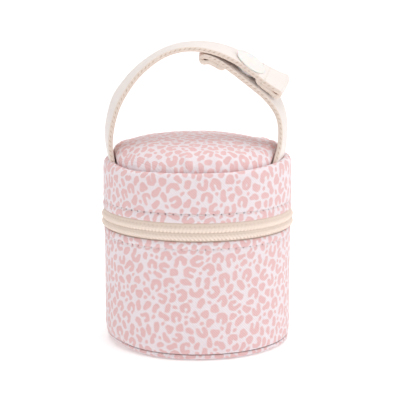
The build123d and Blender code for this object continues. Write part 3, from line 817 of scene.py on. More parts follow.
PRINT = printed_fabric("printed_twill")
LINING = weave_fabric("lining_weave", "#E9DDD6", "#F6F0EA", pitch=0.55)
weave_fabric("binding_weave", "#E4D5CB", "#F3E9E0", pitch=0.8)  # a spare, on no piece yet
TAPE = weave_fabric("zipper_tape_weave", "#DFCEC0", "#EBDDD0", pitch=0.9, bump=0.8)
# BBA190 is painted shade for the zipper face's dips and edges
COVER = zipper_face("zipper_face_weave", "#F3E0D2", "#FDEEE3", "#BBA190")
COIL = plastic("coil_nylon", "#E8D7C8", "#F2E4D8", rough=0.38, subsurface=0.2)
ZIP_THREAD = thread_material("zipper_thread", "#DCCBBB", "#EBDDD0")
TOP_THREAD = thread_material("top_thread", "#EBDDDD", "#F6ECEB")
HOLE_SHADE = hole_shade_material("needle_hole_shade")
STRAP_FACE = strap_face("strap_face", "#EDE3DE", "#F2E9E4", "#E8DBD4")
STRAP_EDGE = strap_edge("strap_edge", "#E9D7CA", "#F3E6DC")
# the strap's inner face is a darker tan copy of the edge finish: painted shade for the dark gap
# between the straps
STRAP_BACK_SHADED = strap_edge("strap_back_painted_shade", "#D2B3A2", "#DFC6B7")
STRAP_THREAD = thread_material("strap_thread", "#CFB5A2", "#DDC7B6")
HEM_THREAD = thread_material("hem_thread", "#E9DED2", "#F7F1EA")
FOAM = foam_material("foam")
SNAP = plastic("snap_plastic", "#EFE9E5", "#F5F0EC", rough=0.42, subsurface=0.2, bump=0.05)
TUB = plastic("tub_plastic", "#E9EAEA", "#F5F5F4", rough=0.42, subsurface=0.35, bump=0.10,
              transmission=0.10)
DIVIDER = plastic("divider_plastic", "#EFD9D8", "#F6E7E5", rough=0.45, subsurface=0.25)
POUR_LID = plastic("pour_lid_plastic", "#E5B3B5", "#EFC4C4", rough=0.34, subsurface=0.2,
                   bump=0.10)
SEAL = plastic("seal_rubber", "#DAD7D4", "#E9E7E4", rough=0.55, subsurface=0.3)
METAL = enamel("slider_enamel", "#DDD2C2", "#EBE3D7")
BOARD = plastic("board", "#D8D4CC", "#E6E2DA", rough=0.7, subsurface=0.0)

# ------------------------------------------------------------------ lower case
STITCH_PITCH = 3.3
LOWER_STITCHES = int(round(TAU * BODY_RADIUS / STITCH_PITCH))
UPPER_STITCHES = int(round(TAU * LID_RADIUS / STITCH_PITCH))
LOWER_STITCH_Z, UPPER_STITCH_Z = 46.35, 60.75


def stitch_relief(angle, z, line_z, depth, count):
    """Groove of a topstitch line, deeper at each needle hole, with swells between."""
    off_line = z - line_z
    wave = 0.5 + 0.5 * np.cos(angle * count)
    hole = wave ** 6
    swell = (1 - wave) ** 1.5 * bell(np.abs(off_line) - 1.5, 1.1)
    return (-depth * bell(off_line, 0.55) * (0.55 + 0.45 * hole)
            - 0.22 * hole * bell(off_line, 0.5) + 0.10 * swell)


# Outer wall. Profiles are lists of (r, z), here and below.
WALL_OUTER = [
    (38.95, 2.42), (39.30, 2.75), (39.55, 3.5), (39.68, 5.0), (39.72, 8.0), (39.68, 14),
    (39.66, 24), (39.68, 34), (39.70, 42), (39.68, 44.5), (39.66, 46.35), (39.80, 47.3),
    (39.85, 48.3), (39.72, 49.1), (39.38, 49.5), (39.0, 49.42),
]
WALL_INNER = [(38.92, 49.2), (38.92, 44.0), (38.9, 10.0), (38.92, 2.7)]


def wall_disp(angle, radius, z, out, up):
    """Soft unevenness, gathers at the foot and the topstitch line."""
    outside = (radius > 39.25) * ease((out - 0.15) / 0.5)
    soft = ripple(angle, z, 3, 5, 3, 55) * 0.16 + ripple(angle, z, 4, 22, 6, 40) * 0.045
    fade = ease((z - 2.5) / 5) * ease((48.8 - z) / 3.5)
    gather = ripple(angle, 0.0, 8, 46, 0, 40) * 0.12 * bell(z - 3.6, 1.6)
    seam = stitch_relief(angle, z, LOWER_STITCH_Z, 0.34, LOWER_STITCHES)
    return outside * (soft * fade + gather + seam)


body_wall = revolve("body_wall_printed", skin_profile(WALL_OUTER, 1.0, 0.42, WALL_INNER, 2.5),
                    PRINT, count=600, disp=wall_disp, pat=wall_pat)
register(body_wall, "printed_fabric", "case_body", "body_shell")

# Base panel: a disc with a turned-up edge.
BASE_OUTER = [(0.02, 0.02), (20, 0.02), (36.0, 0.02), (37.9, 0.12), (38.8, 0.42),
              (39.28, 1.05), (39.34, 1.7), (39.1, 2.2), (38.6, 2.36)]
BASE_INNER = [(38.4, 2.1), (38.35, 1.2), (37.6, 0.82), (20, 0.8), (0.02, 0.8)]


def base_disp(angle, radius, z, out, up):
    rim = ease((radius - 36.5) / 2.0)
    return rim * (ripple(angle, 0.0, 21, 40, 0, 30) * 0.09
                  + ripple(angle, 0.0, 22, 6, 0, 30) * 0.07)


def base_pat(angle, radius, z):
    """A flat disc whose turned-up edge carries on outwards."""
    spread = radius + np.where(radius > 37.5, np.maximum(z, 0), 0)
    return disc_pat(angle, spread, z, shift=300.0)


base_panel = revolve("base_panel_printed", skin_profile(BASE_OUTER, 0.9, 0.6, BASE_INNER, 2.0),
                     PRINT, count=480, disp=base_disp, pat=base_pat)
register(base_panel, "printed_fabric", "case_body", "base_panel")

# Board and foam inside the base.
board_profile = rounded([(0.02, 0.95), (37.8, 0.95), (37.8, 2.25), (0.02, 2.25)],
                        radius=[0, 0.35, 0.35, 0], count=5)
base_board = revolve("base_board_sheet", board_profile, BOARD, count=160)
register(base_board, "board", "case_body", "base_board")

BASE_FOAM = [(0.02, 2.45), (36.3, 2.45), (36.45, 2.8), (36.45, 3.5), (36.2, 3.8), (0.02, 3.8)]


def base_foam_disp(angle, radius, z, out, up):
    return ripple(angle, radius * 1.7, 31, 7, 4, 40) * 0.03 * ease(radius / 6.0)


base_foam = revolve("base_foam_pad", resample(BASE_FOAM, step=1.5), FOAM, count=160,
                    disp=base_foam_disp)
register(base_foam, "foam_padding", "case_body", "base_foam")


def foam_wall(name, low, high, seed):
    """A cylinder of foam between the outer fabric and the lining."""
    inner, outer = 36.78, 38.05
    outline = [(inner, low), (outer, low), (outer, high), (inner, high), (inner, low)]
    profile = resample(rounded(outline, radius=0.3, count=4, closed=False), step=1.2)[:-1]
    return revolve(name, profile, FOAM, count=240,
                   disp=lambda angle, radius, z, out, up:
                   ripple(angle, z, seed, 20, 5, 50) * 0.03)


body_foam = foam_wall("body_foam_pad", low=2.6, high=48.7, seed=41)
register(body_foam, "foam_padding", "case_body", "body_foam")

# Lining of the floor and wall, with its top edge rolled outwards.
BODY_LINING = [
    (0.02, 3.98), (36.4, 3.98), (36.58, 4.3), (36.58, 48.4), (36.9, 48.92), (38.0, 48.95),
    (38.13, 49.2), (37.95, 49.42), (36.9, 49.46), (36.25, 49.2), (36.12, 48.4), (36.12, 4.9),
    (35.8, 4.48), (0.02, 4.45),
]


def body_lining_disp(angle, radius, z, out, up):
    inner = (radius < 36.3) * (out < -0.5)
    wall = ripple(angle, z, 51, 30, 3, 45) * 0.05 + ripple(angle, z, 52, 7, 2, 45) * 0.07
    floor_part = (z < 5.5) * (up > 0.5)
    return inner * (wall - 0.08) + floor_part * ripple(angle, radius, 53, 8, 3, 40) * 0.04


def body_lining_pat(angle, radius, z):
    flat = (z < 4.6) & (radius < 35.9)
    return np.where(flat[..., None], disc_pat(angle, radius, z),
                    wall_pat(angle, radius, z, girth=36.0))


body_lining = revolve(
    "body_lining_cloth", resample(rounded(BODY_LINING, 0.35, 4, closed=False), step=1.1),
    LINING, count=360, disp=body_lining_disp, pat=body_lining_pat)
register(body_lining, "lining_fabric", "case_body", "body_lining")


def sag_foot(pieces, degrees=205.0, spread=0.42, inwards=1.9, upwards=1.5):
    """Let the foot of every layer sag alike on the left, a little to the front."""
    for piece in pieces:
        points = coords(piece)
        radius = np.hypot(points[:, 0], points[:, 1])
        turn = angle_from(np.arctan2(points[:, 1], points[:, 0]), degrees)
        weight = bell(turn, spread) * ease((radius - 33.0) / 5.0)
        inn = inwards * weight * np.clip(1 - points[:, 2] / 9.0, 0, 1) ** 2
        lift = upwards * weight * np.clip(1 - points[:, 2] / 7.0, 0, 1) ** 2
        points[:, :2] *= ((radius - inn) / np.maximum(radius, 1e-6))[:, None]
        points[:, 2] += lift
        set_coords(piece, points)


sag_foot([body_wall, base_panel, base_board, base_foam, body_foam, body_lining])


# Topstitching on both halves.
def ring_path(radius, z, arc=(-90, 270)):
    """900 points round the axis, and the outward normals there."""
    angle = np.radians(np.linspace(arc[0], arc[1], 900))
    return polar(radius, angle, z), polar(1.0, angle, 0.0)


def topstitch(name, radius, z, count, body):
    """One stitch between each pair of needle holes, and a small sunk hole at each, coloured
    dark as painted shade.
    """
    threads, holes = [], []
    lean = np.linspace(-1, 1, 9)
    around = np.linspace(0, TAU, 8, endpoint=False)
    half = math.pi / count
    for i in range(count):
        middle = TAU * (i + 0.5) / count
        angle = np.linspace(middle - half * 0.80, middle + half * 0.80, 9)
        path = polar(radius + 0.10 - 0.42 * np.abs(lean) ** 3, angle,
                     z + 0.05 * lean * (1 if i % 2 else -1))
        threads.append(thread(path, polar(1.0, angle, 0.0), radius=0.20, squash=0.7))
        hole_angle = TAU * i / count
        size = 0.26 + 0.05 * math.sin(i * 2.4)
        # rings of the hole: depth from the seam's radius, size, width and height factors
        rings = ((-0.50, size, 1.10, 0.80), (-0.21, size, 1.15, 0.85),
                 (-0.16, size * 0.7, 1.15, 0.85), (-0.24, 0.02, 1.15, 0.85))
        points = [polar(radius + depth, hole_angle + ring * np.cos(around) * wide / radius,
                        z + ring * np.sin(around) * tall)
                  for depth, ring, wide, tall in rings]
        holes.append((np.concatenate(points), grid_faces(4, 8, wrap_columns=True)))
    pieces = [merge(name + "_thread", threads, TOP_THREAD),
              merge(name + "_needle_marks", holes, HOLE_SHADE)]
    for piece in pieces:
        register(piece, "printed_fabric", body)


topstitch("lower_topstitch", 39.50, LOWER_STITCH_Z, LOWER_STITCHES, "case_body")
topstitch("upper_topstitch", 39.84, UPPER_STITCH_Z, UPPER_STITCHES, "lid")

# ------------------------------------------------------------------ zipper
ZIP_ARC = (90 + CHAIN_END, 450 - CHAIN_END)
ZIP_START, ZIP_SWEEP = math.radians(ZIP_ARC[0]), math.radians(ZIP_ARC[1] - ZIP_ARC[0])
TAPE_GAP = 0.35              # from CHAIN_Z to each tape's edge
CORD_INSET = 2.9             # from a tape's edge to the cord on it
TAPE_INNER, TAPE_OUTER = 38.25, 38.78
COIL_PITCH = 1.58
COIL_RADIUS = 39.8
SLIT_Z = 53.25
COIL_TURNS = int((ZIP_ARC[1] - ZIP_ARC[0]) / 360 * TAU * COIL_RADIUS / COIL_PITCH)


def zipper_tape(half, low, high, cord_z, body):
    """Woven tape with a corded line beside the coil."""
    outline = rounded([(TAPE_INNER, low), (TAPE_OUTER, low), (TAPE_OUTER, high),
                       (TAPE_INNER, high)], radius=0.2, count=4)

    def disp(angle, radius, z, out, up):
        ribs = 0.03 * np.cos(z * TAU / 0.9)
        return ease((out - 0.2) / 0.5) * (ribs + bell(z - cord_z, 0.35) * 0.12)

    tape = revolve("zipper_tape_" + half + "_woven", resample_loop(outline, step=0.35), TAPE,
                   count=420, arc=ZIP_ARC, disp=disp, pat=wall_pat)
    register(tape, "zipper_tape", body, "zipper_tape_" + half)


zipper_tape("lower", 37.3, CHAIN_Z - TAPE_GAP, CHAIN_Z - TAPE_GAP - CORD_INSET, "case_body")
zipper_tape("upper", CHAIN_Z + TAPE_GAP, 68.8, CHAIN_Z + TAPE_GAP + CORD_INSET, "lid")

# One turn of the coil: shift along the zipper, height from the slit, distance from the
# axis, wire radius. It runs out from the sewn edge, round the head and back beneath.
COIL_TURN = np.array([
    (-0.42, 2.55, 39.22, 0.20), (-0.40, 2.65, 39.42, 0.30), (-0.34, 2.4, 39.66, 0.30),
    (-0.22, 1.8, 39.78, 0.30), (-0.08, 1.0, 39.84, 0.33), (0.03, 0.35, 39.84, 0.33),
    (0.10, -0.20, 39.70, 0.33), (0.14, -0.42, 39.40, 0.33), (0.18, -0.25, 39.18, 0.30),
    (0.24, 0.4, 39.08, 0.30), (0.34, 1.5, 39.02, 0.30), (0.42, 2.4, 39.05, 0.20),
])


def coil_row(sign):
    """The turns of one row; the two rows are half a pitch apart."""
    shift, height, radius, wire = COIL_TURN.T
    parts = []
    for i in range(COIL_TURNS):
        angle = ZIP_START + (i + (0.25 if sign > 0 else 0.75)) / COIL_TURNS * ZIP_SWEEP
        path = polar(radius, angle + shift / COIL_RADIUS, SLIT_Z + sign * height)
        side = np.array([[-math.sin(angle), math.cos(angle), 0.0]])
        across = unit(np.cross(unit(np.gradient(path, axis=0)), side))
        parts.append(tube(path, wire, across, side * 1.04, sides=8))
    return parts


# Outlines of the cloth face over each row: height from the slit, radius.
COVER_UPPER = [
    (0.012, 39.8), (0.02, 40.32), (0.08, 40.39), (0.34, 40.44), (0.62, 40.66), (0.95, 40.86),
    (1.30, 40.93), (1.66, 40.80), (1.98, 40.48), (2.25, 40.24), (2.6, 40.12), (3.2, 40.06),
    (3.75, 39.98), (4.15, 39.72), (4.35, 39.2),
    (4.2, 38.84), (2.6, 38.84), (0.95, 38.86), (0.3, 38.95),
]
COVER_LOWER = [
    (0.012, 39.8), (0.02, 40.32), (0.08, 40.38), (0.40, 40.42), (0.90, 40.46), (1.20, 40.60),
    (1.50, 40.82), (1.85, 40.94), (2.20, 40.84), (2.58, 40.60), (2.90, 40.30), (3.15, 39.98),
    (3.25, 39.5), (3.2, 39.0),
    (2.9, 38.84), (2.0, 38.84), (0.95, 38.86), (0.3, 38.95),
]


def upper_relief(turn, waver, height):
    """Depth of the dips in the upper face, its weave, and how dark each place is painted: shade
    in the dots, swells and needle marks and under the lid's edge, and the tape strip's darker
    tone.
    """
    dot = (0.5 - 0.5 * np.cos(turn + waver - height * 4.0)) ** 1.5 * bell(height - 0.24, 0.22)
    rope = ((0.5 - 0.5 * np.cos(turn - height * 1.6 + waver))
            * (bell(height - 0.85, 0.45) + 0.9 * bell(height - 1.95, 0.22)))
    needle = (0.5 + 0.5 * np.cos(turn * COIL_PITCH / 1.95)) ** 5 * bell(height - 2.72, 0.20)
    depth = dot * 0.09 + rope * 0.04 + needle * 0.12
    weave = 0.012 * np.cos(height * TAU / 0.55)
    # dark: painted shade in the dots, between the swells, in the needle marks and under the
    # lid's edge, plus the tape strip's own darker tone above the ridge
    dark = (0.62 * dot + 0.20 * rope + 0.36 * needle + 0.27 * ease((height - 1.75) / 0.7)
            + 0.22 * ease((height - 3.4) / 0.8))
    return depth, weave, dark


def lower_relief(turn, waver, height):
    """The same for the lower face; its dark is painted shade in the dots, between the swells,
    in the valley beside the slit and along its lower edge.
    """
    dot = (0.5 - 0.5 * np.cos(turn + 1.2 - height * 4.0 + waver)) ** 1.6
    dot = dot * bell(height - 1.02, 0.19)
    rope = (0.5 - 0.5 * np.cos(turn - height * 3.0 + waver)) ** 1.3
    low, middle = bell(height - 2.66, 0.36), bell(height - 1.9, 0.5)
    depth = dot * 0.07 + rope * (0.05 * middle + 0.20 * low)
    weave = 0.010 * np.cos(height * TAU / 0.5)
    valley = ease((1.15 - height) / 0.4) * ease((height + 0.05) / 0.15)
    # dark: painted shade in the dots, between the swells, in the valley and along the lower
    # edge
    dark = (0.36 * dot + rope * (0.16 * middle + 0.66 * low) + 0.27 * valley
            + 0.40 * ease((height - 2.85) / 0.3))
    return depth, weave, dark


def coil_cover(name, sign, outline, relief):
    """Cloth drawn over the coil; every turn shows through as a slanted swell."""
    height, radius = resample_loop(outline, step=0.14).T
    profile = np.stack([radius, SLIT_Z + sign * height], -1)[::sign]
    groove = None

    def disp(angle, radius, z, out, up):
        nonlocal groove
        outside = ease((radius - 39.5) / 0.5)
        turn = (angle - ZIP_START) / ZIP_SWEEP * COIL_TURNS * TAU
        waver = 0.35 * np.sin(angle * 37) + 0.25 * np.sin(angle * 91 + 1)
        depth, weave, dark = relief(turn, waver, sign * (z - SLIT_Z))
        # groove holds painted shade for the dips and edges, not the depth of a groove
        groove = dark * outside
        return outside * (-depth + weave)

    cover = revolve(name, profile, COVER, count=1700, arc=ZIP_ARC, disp=disp, pat=wall_pat)
    store(cover.data, "groove", groove.ravel())
    return cover


for sign, half, body, outline, relief in (
        (-1, "lower", "case_body", COVER_LOWER, lower_relief),
        (1, "upper", "lid", COVER_UPPER, upper_relief)):
    coil = merge("zipper_coil_" + half + "_loops", coil_row(sign), COIL)
    register(coil, "zipper_coil", body, "zipper_coil_" + half)
    cover = coil_cover("zipper_coil_cover_" + half, sign, outline, relief)
    register(cover, "zipper_coil", body)
    # the stitches that hold the coil down, on the inside of the tape
    path, normals = ring_path(38.22, SLIT_Z + sign * 3.0, (ZIP_ARC[0] + 0.6, ZIP_ARC[1] - 0.6))
    sewing = merge("zipper_sewing_" + half,
                   stitches(path, -normals, pitch=1.95, length=1.55, radius=0.15, sink=0.12,
                            rise=0.0, count=5, jitter=0.02), ZIP_THREAD)
    register(sewing, "zipper_tape", body)

# Fabric hinge at the back: one strip between the ends of the zipper.
HINGE_HALF = CHAIN_END - 0.6
HINGE_PROFILE = [(38.22, 41.2), (38.78, 41.2), (38.86, 50.0), (38.95, 53.35), (38.86, 56.7),
                 (38.78, 65.3), (38.22, 65.3), (38.3, 53.35)]

hinge = revolve(
    "back_hinge_strip", resample_loop(rounded(HINGE_PROFILE, 0.3, 4), step=0.4), PRINT,
    count=60, arc=(90 - HINGE_HALF, 90 + HINGE_HALF),
    disp=lambda angle, radius, z, out, up: ease((out - 0.2) / 0.4) * 0.05 * np.cos(z * 2.4),
    pat=lambda angle, radius, z: wall_pat(angle, radius, z) + np.array([0.0, 150.0, 0.0]))
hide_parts("hinge_panel_lower", "hinge_panel_upper")
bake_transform(hinge)

# ------------------------------------------------------------------ lid side band
BAND_OUTER = [
    (39.45, 57.25), (39.95, 57.3), (40.28, 57.8), (40.25, 58.8), (40.05, 60.0),
    (39.96, 60.75), (40.02, 62.0), (40.02, 66.0), (40.0, 71.0), (39.98, 73.6), (39.80, 75.2),
    (39.40, 76.3), (38.7, 77.1), (37.7, 77.38), (36.95, 77.2), (36.5, 76.7), (36.35, 75.6),
]
BAND_INNER = [(36.7, 75.3), (37.2, 76.2), (38.3, 76.3), (39.0, 75.4), (39.15, 73.6),
              (39.2, 64.0), (39.2, 58.0), (39.25, 57.5)]


def band_disp(angle, radius, z, out, up):
    outside = ease((radius - 37.0) / 0.6) * (out > -0.3)
    soft = ripple(angle, z, 63, 5, 2, 30) * 0.13 + ripple(angle, z, 64, 24, 4, 24) * 0.05
    gather = ripple(angle, 0.0, 68, 44, 0, 40) * 0.16 * bell(z - 77.8, 1.6)
    seam = stitch_relief(angle, z, UPPER_STITCH_Z, 0.30, UPPER_STITCHES)
    return outside * (soft * ease((z - 57.5) / 3) + gather + seam * (out > 0.2))


def band_pat(angle, radius, z):
    """The wall's print, shifted; over the top edge it carries on inwards."""
    along = 21.0 + np.maximum(0, 39.0 - radius) * (z > 70)
    return wall_pat(angle, radius, z) + np.stack([7.3 + 0 * z, along, 0 * z], -1)


def rim_lift(angle):
    """The straps draw the seam up at the sides; it dips at the front left."""
    side = np.cos(angle)
    return (1.70 * np.abs(side) ** 3 + 0.52 * side * np.abs(side)
            - 0.85 * bell(angle_from(angle, 222), 0.36))


band = revolve("lid_side_band_printed", skin_profile(BAND_OUTER, 1.0, 0.42, BAND_INNER, 2.0),
               PRINT, count=600, disp=band_disp, pat=band_pat)
band_points = coords(band)
band_angle = np.arctan2(band_points[:, 1], band_points[:, 0])
band_points[:, 2] += rim_lift(band_angle) * ease((band_points[:, 2] - 68.0) / 8.5)
set_coords(band, band_points)
register(band, "printed_fabric", "lid", "lid_side_band")


# ------------------------------------------------------------------ course of the straps
def natural_spline(knots, values):
    """Cubic spline with no bend at its ends, as a function."""
    count = len(knots)
    matrix, target = np.zeros((count, count)), np.zeros(count)
    gaps = np.diff(knots)
    rises = np.diff(values)
    matrix[0, 0] = matrix[-1, -1] = 1
    for i in range(1, count - 1):
        matrix[i, i - 1:i + 2] = gaps[i - 1], 2 * (gaps[i - 1] + gaps[i]), gaps[i]
        target[i] = 3 * (rises[i] / gaps[i] - rises[i - 1] / gaps[i - 1])
    square = np.linalg.solve(matrix, target)
    linear = rises / gaps - gaps * (2 * square[:-1] + square[1:]) / 3
    cubic = np.diff(square) / (3 * gaps)

    def curve(t):
        i = np.clip(np.searchsorted(knots, t, side="right") - 1, 0, count - 2)
        x = t - knots[i]
        return values[i] + linear[i] * x + square[i] * x * x + cubic[i] * x ** 3
    return curve


class Strap:
    """The course of a strap, by distance along it from its first station.

    x_sign is -1 on the left and 1 on the right; skive is the length over which the folded
    end thins out; lean is how much farther the far corner of the end stands out.
    """

    def __init__(self, stations, x_sign, skive, lean):
        stations = np.array(stations, float)
        self.knots = path_lengths(stations[:, :3])
        *self.place, self.tilt = [natural_spline(self.knots, column)
                                  for column in stations.T]
        self.x_sign, self.skive, self.lean = x_sign, skive, lean

    def frames(self, t):
        """Near outer edge point, and the directions along, across and out."""
        t = np.asarray(t, float)
        step = 0.05
        edge = np.stack([curve(t) for curve in self.place], -1)
        along = unit(np.stack([curve(t + step) - curve(t - step) for curve in self.place],
                              -1))
        back = np.array([0.0, 1.0, 0.0])
        level = unit(back - along * (along @ back)[:, None])
        face = -self.x_sign * np.cross(along, level)
        tilt = np.radians(self.tilt(t))[:, None]
        return (edge, along, level * np.cos(tilt) + face * np.sin(tilt),
                face * np.cos(tilt) - level * np.sin(tilt))

    def frame(self, t):
        return [rows[0] for rows in self.frames([t])]

    def middle(self, t):
        """Centre of the strap's section."""
        edge, _, across, out = self.frame(t)
        return edge + across * (STRAP_WIDTH / 2) - out * (STRAP_THICK / 2)


LONG = Strap(LONG_STRAP, x_sign=-1, skive=4.6, lean=1.3)
SHORT = Strap(SHORT_STRAP, x_sign=1, skive=2.2, lean=0.0)


def press_by_straps(points, gap):
    """Push points of the lid's top inwards where the straps stand against it."""
    points = points.copy()
    spread = 6.6             # how far the hollow reaches past each side of a strap
    for strap in (LONG, SHORT):
        edge, _, across, out = strap.frames(np.linspace(0, strap.knots[4], 60))
        inner = edge - out * (STRAP_THICK + gap)
        for i, point in enumerate(points):
            if point[0] * strap.x_sign < 25:
                continue
            near = np.argmin(np.abs(inner[:, 2] - point[2]))
            offset = point - inner[near]
            sideways = offset @ across[near]
            if sideways < -spread or sideways > STRAP_WIDTH + spread:
                continue
            beyond = max(0.0, -sideways, sideways - STRAP_WIDTH)
            over = offset @ out[near] - (beyond / spread) ** 2 * 3.6
            if over > 0:
                points[i] = point - out[near] * over
    return points


# ------------------------------------------------------------------ padded top of the lid
DOME_RADIUS, DOME_Z, DOME_HEIGHT, DOME_FOOT = 36.1, 76.9, 11.0, 75.4
DOME_POWER = 2.60            # 2 is an ellipse; more is boxier
DOME_ROWS, DOME_COLUMNS = 40, 220
DOME_DRIFT = 0.7             # the most the cloth may move a point


def dome_profile(radius, base_z, height, rows, foot, power):
    """(r, z) from the pole down a superellipse, then straight to the foot if given."""
    angle = np.linspace(0, 1, 400) * math.pi / 2
    points = np.stack([radius * np.sin(angle) ** (2 / power),
                       base_z + height * np.clip(np.cos(angle), 0, 1) ** (2 / power)], -1)
    points[0, 0] = 0.0
    if foot is not None:
        points = np.concatenate([points, [[radius + 0.02, foot]]])
    lengths = path_lengths(points)
    return interp_rows(np.linspace(0, lengths[-1], rows), lengths, points)


def blow_up(piece):
    """Inflate the cloth, held at the seam, and return where its points end up."""
    count = len(piece.data.vertices)
    seam = piece.vertex_groups.new(name="seam")
    seam.add(list(range(count - DOME_COLUMNS * 2, count)), 1.0, "REPLACE")
    modifier = piece.modifiers.new("Cloth", "CLOTH")
    cloth_settings = {
        "quality": 6, "mass": 0.15,
        "tension_stiffness": 18, "compression_stiffness": 18, "shear_stiffness": 6,
        "bending_stiffness": 0.35, "tension_damping": 12, "compression_damping": 12,
        "air_damping": 3, "use_pressure": True, "uniform_pressure_force": 2.2,
        "vertex_group_mass": "seam", "shrink_min": -0.045,
    }
    for name, value in cloth_settings.items():
        setattr(modifier.settings, name, value)
    modifier.settings.effector_weights.gravity = 0.0
    modifier.collision_settings.use_collision = False
    modifier.collision_settings.use_self_collision = False
    modifier.point_cache.frame_start = 1
    modifier.point_cache.frame_end = 24
    scene = bpy.context.scene
    for number in range(1, 23):
        scene.frame_set(number)
    points = coords(piece.evaluated_get(bpy.context.evaluated_depsgraph_get()))
    piece.modifiers.remove(modifier)
    piece.vertex_groups.clear()
    scene.frame_set(1)
    return points


def cloth_dome(name):
    """The dome as a polar sheet, and its points with the cloth's gathers added."""
    profile = dome_profile(DOME_RADIUS, DOME_Z, DOME_HEIGHT, DOME_ROWS, DOME_FOOT, DOME_POWER)
    turn = np.linspace(0, TAU, DOME_COLUMNS, endpoint=False)
    rings = [polar(radius, turn, z) for radius, z in profile[1:]]
    points = np.concatenate([np.array([[0.0, 0.0, profile[0, 1]]])] + rings)
    # a little unevenness for the puckers to start from
    angle = np.arctan2(points[1:, 1], points[1:, 0])
    inset = np.linalg.norm(points[1:, :2], axis=1) - DOME_RADIUS
    lift = ripple(angle, 0.0, 5, 42, 0, 30) * 0.10 * ease((inset + 9) / 6)
    points[1:, 2] += lift * ease((inset + 5) / 4)
    faces = [(0, 1 + j, 1 + (j + 1) % DOME_COLUMNS) for j in range(DOME_COLUMNS)]
    faces += list(grid_faces(DOME_ROWS - 1, DOME_COLUMNS, wrap_columns=True) + 1)
    piece = new_object(name, points, faces, [PRINT])
    fix_normals(piece)
    move = (blow_up(piece) - points)[1:].reshape(DOME_ROWS - 1, DOME_COLUMNS, 3)
    # the base shape sets the overall rise, so only the uneven part of the move is kept
    outward = polar(1.0, turn, 0.0)[None]
    move -= (move * outward).sum(-1).mean(1)[:, None, None] * outward
    move[..., 2] -= move[..., 2].mean(1)[:, None]
    move = np.concatenate([move[0].mean(0)[None], move.reshape(-1, 3)])
    length = np.linalg.norm(move, axis=1)
    move *= (np.minimum(length, DOME_DRIFT) / np.maximum(length, 1e-9))[:, None]
    # the padding keeps the middle smooth; the gathers stay near the seam
    radius = np.hypot(points[:, 0], points[:, 1])
    return piece, points + move * (0.16 + 0.84 * ease((radius - 29.0) / 6.5))[:, None]


dome, dome_points = cloth_dome("lid_top_padded")
dome_angle = np.arctan2(dome_points[:, 1], dome_points[:, 0])
dome_reach = np.linalg.norm(dome_points[:, :2], axis=1)
dome_points[:, 2] += rim_lift(dome_angle) * ease((dome_reach - 27.0) / 8.0) * 0.9
dome_points[:, 0] -= 0.6 * ease((dome_points[:, 2] - 77.5) / 5.0)
dome_points = press_by_straps(dome_points, gap=0.55)
set_coords(dome, dome_points)
# fabric distance grows down the steep side, so the print is not stretched there
dome_reach = np.linalg.norm(dome_points[:, :2], axis=1)
fall = np.maximum(0, DOME_Z + DOME_HEIGHT - dome_points[:, 2])
growth = 1 + np.where(dome_reach > 1, fall * 0.42 / np.maximum(dome_reach, 1), 0)
store(dome.data, "pat", np.stack([dome_points[:, 0] * growth + 500,
                                  dome_points[:, 1] * growth, 0 * growth], -1))
dome.data.update()
subdivision = dome.modifiers.new("Sub", "SUBSURF")
subdivision.levels = subdivision.render_levels = 1
thickness = dome.modifiers.new("Thick", "SOLIDIFY")
thickness.thickness = 0.0007
thickness.offset = -1
# both modifiers are baked into the mesh
depsgraph = bpy.context.evaluated_depsgraph_get()
baked = bpy.data.meshes.new_from_object(dome.evaluated_get(depsgraph),
                                        preserve_all_data_layers=True, depsgraph=depsgraph)
dome.modifiers.clear()
dome.data = baked
register(dome, "printed_fabric", "lid", "lid_top_panel")

# ------------------------------------------------------------------ lid foam and lining
foam_outer = dome_profile(34.8, 76.2, 10.3, rows=40, foot=75.0, power=2.8)
foam_inner = dome_profile(33.5, 75.6, 9.5, rows=30, foot=75.0, power=2.8)
foam_outer[0, 0] = foam_inner[0, 0] = 0.02
top_foam = revolve("lid_top_foam_pad", np.concatenate([foam_outer[::-1], foam_inner]), FOAM,
                   count=160)
set_coords(top_foam, press_by_straps(coords(top_foam), gap=1.5))
register(top_foam, "foam_padding", "lid", "lid_foam_top")

side_foam = foam_wall("lid_side_foam_pad", low=58.0, high=74.6, seed=42)
register(side_foam, "foam_padding", "lid", "lid_foam_band")

# From the lining's dome out to the wall, down to the rolled edge and back up inside.
LID_LINING_WALL = [
    (33.2, 74.78), (36.3, 74.8), (36.58, 74.5), (36.58, 58.2), (36.95, 57.78), (38.0, 57.76),
    (38.13, 57.5), (37.95, 57.3), (36.9, 57.26), (36.25, 57.6), (36.12, 58.4), (36.12, 73.9),
    (35.8, 74.28), (32.9, 74.3),
]
lining_upper = dome_profile(33.2, 75.3, 9.3, rows=34, foot=None, power=2.8)
lining_under = dome_profile(32.7, 75.1, 9.0, rows=34, foot=None, power=2.8)
lining_upper[0, 0] = lining_under[0, 0] = 0.02


def lid_lining_disp(angle, radius, z, out, up):
    dome_part = (z > 75.2) * (radius < 33.0) * (up < 0.2)
    gathers = ripple(angle, 0.0, 71, 34, 0, 40) * 0.16 * ease((radius - 14) / 14)
    wall_part = (radius < 36.3) * (out < -0.5) * (z < 73)
    return gathers * dome_part + wall_part * (ripple(angle, z, 72, 26, 2, 20) * 0.05 - 0.06)


def lid_lining_pat(angle, radius, z):
    flat = (radius < 35.5) & (z > 74.0)
    return np.where(flat[..., None], disc_pat(angle, radius, z, shift=90),
                    wall_pat(angle, radius, z, girth=36.0))


lid_lining = revolve(
    "lid_lining_cloth",
    resample(np.concatenate([lining_upper, LID_LINING_WALL, lining_under[::-1]]), step=0.9),
    LINING, count=360, disp=lid_lining_disp, pat=lid_lining_pat, closed=False)
register(lid_lining, "lining_fabric", "lid", "lid_lining")

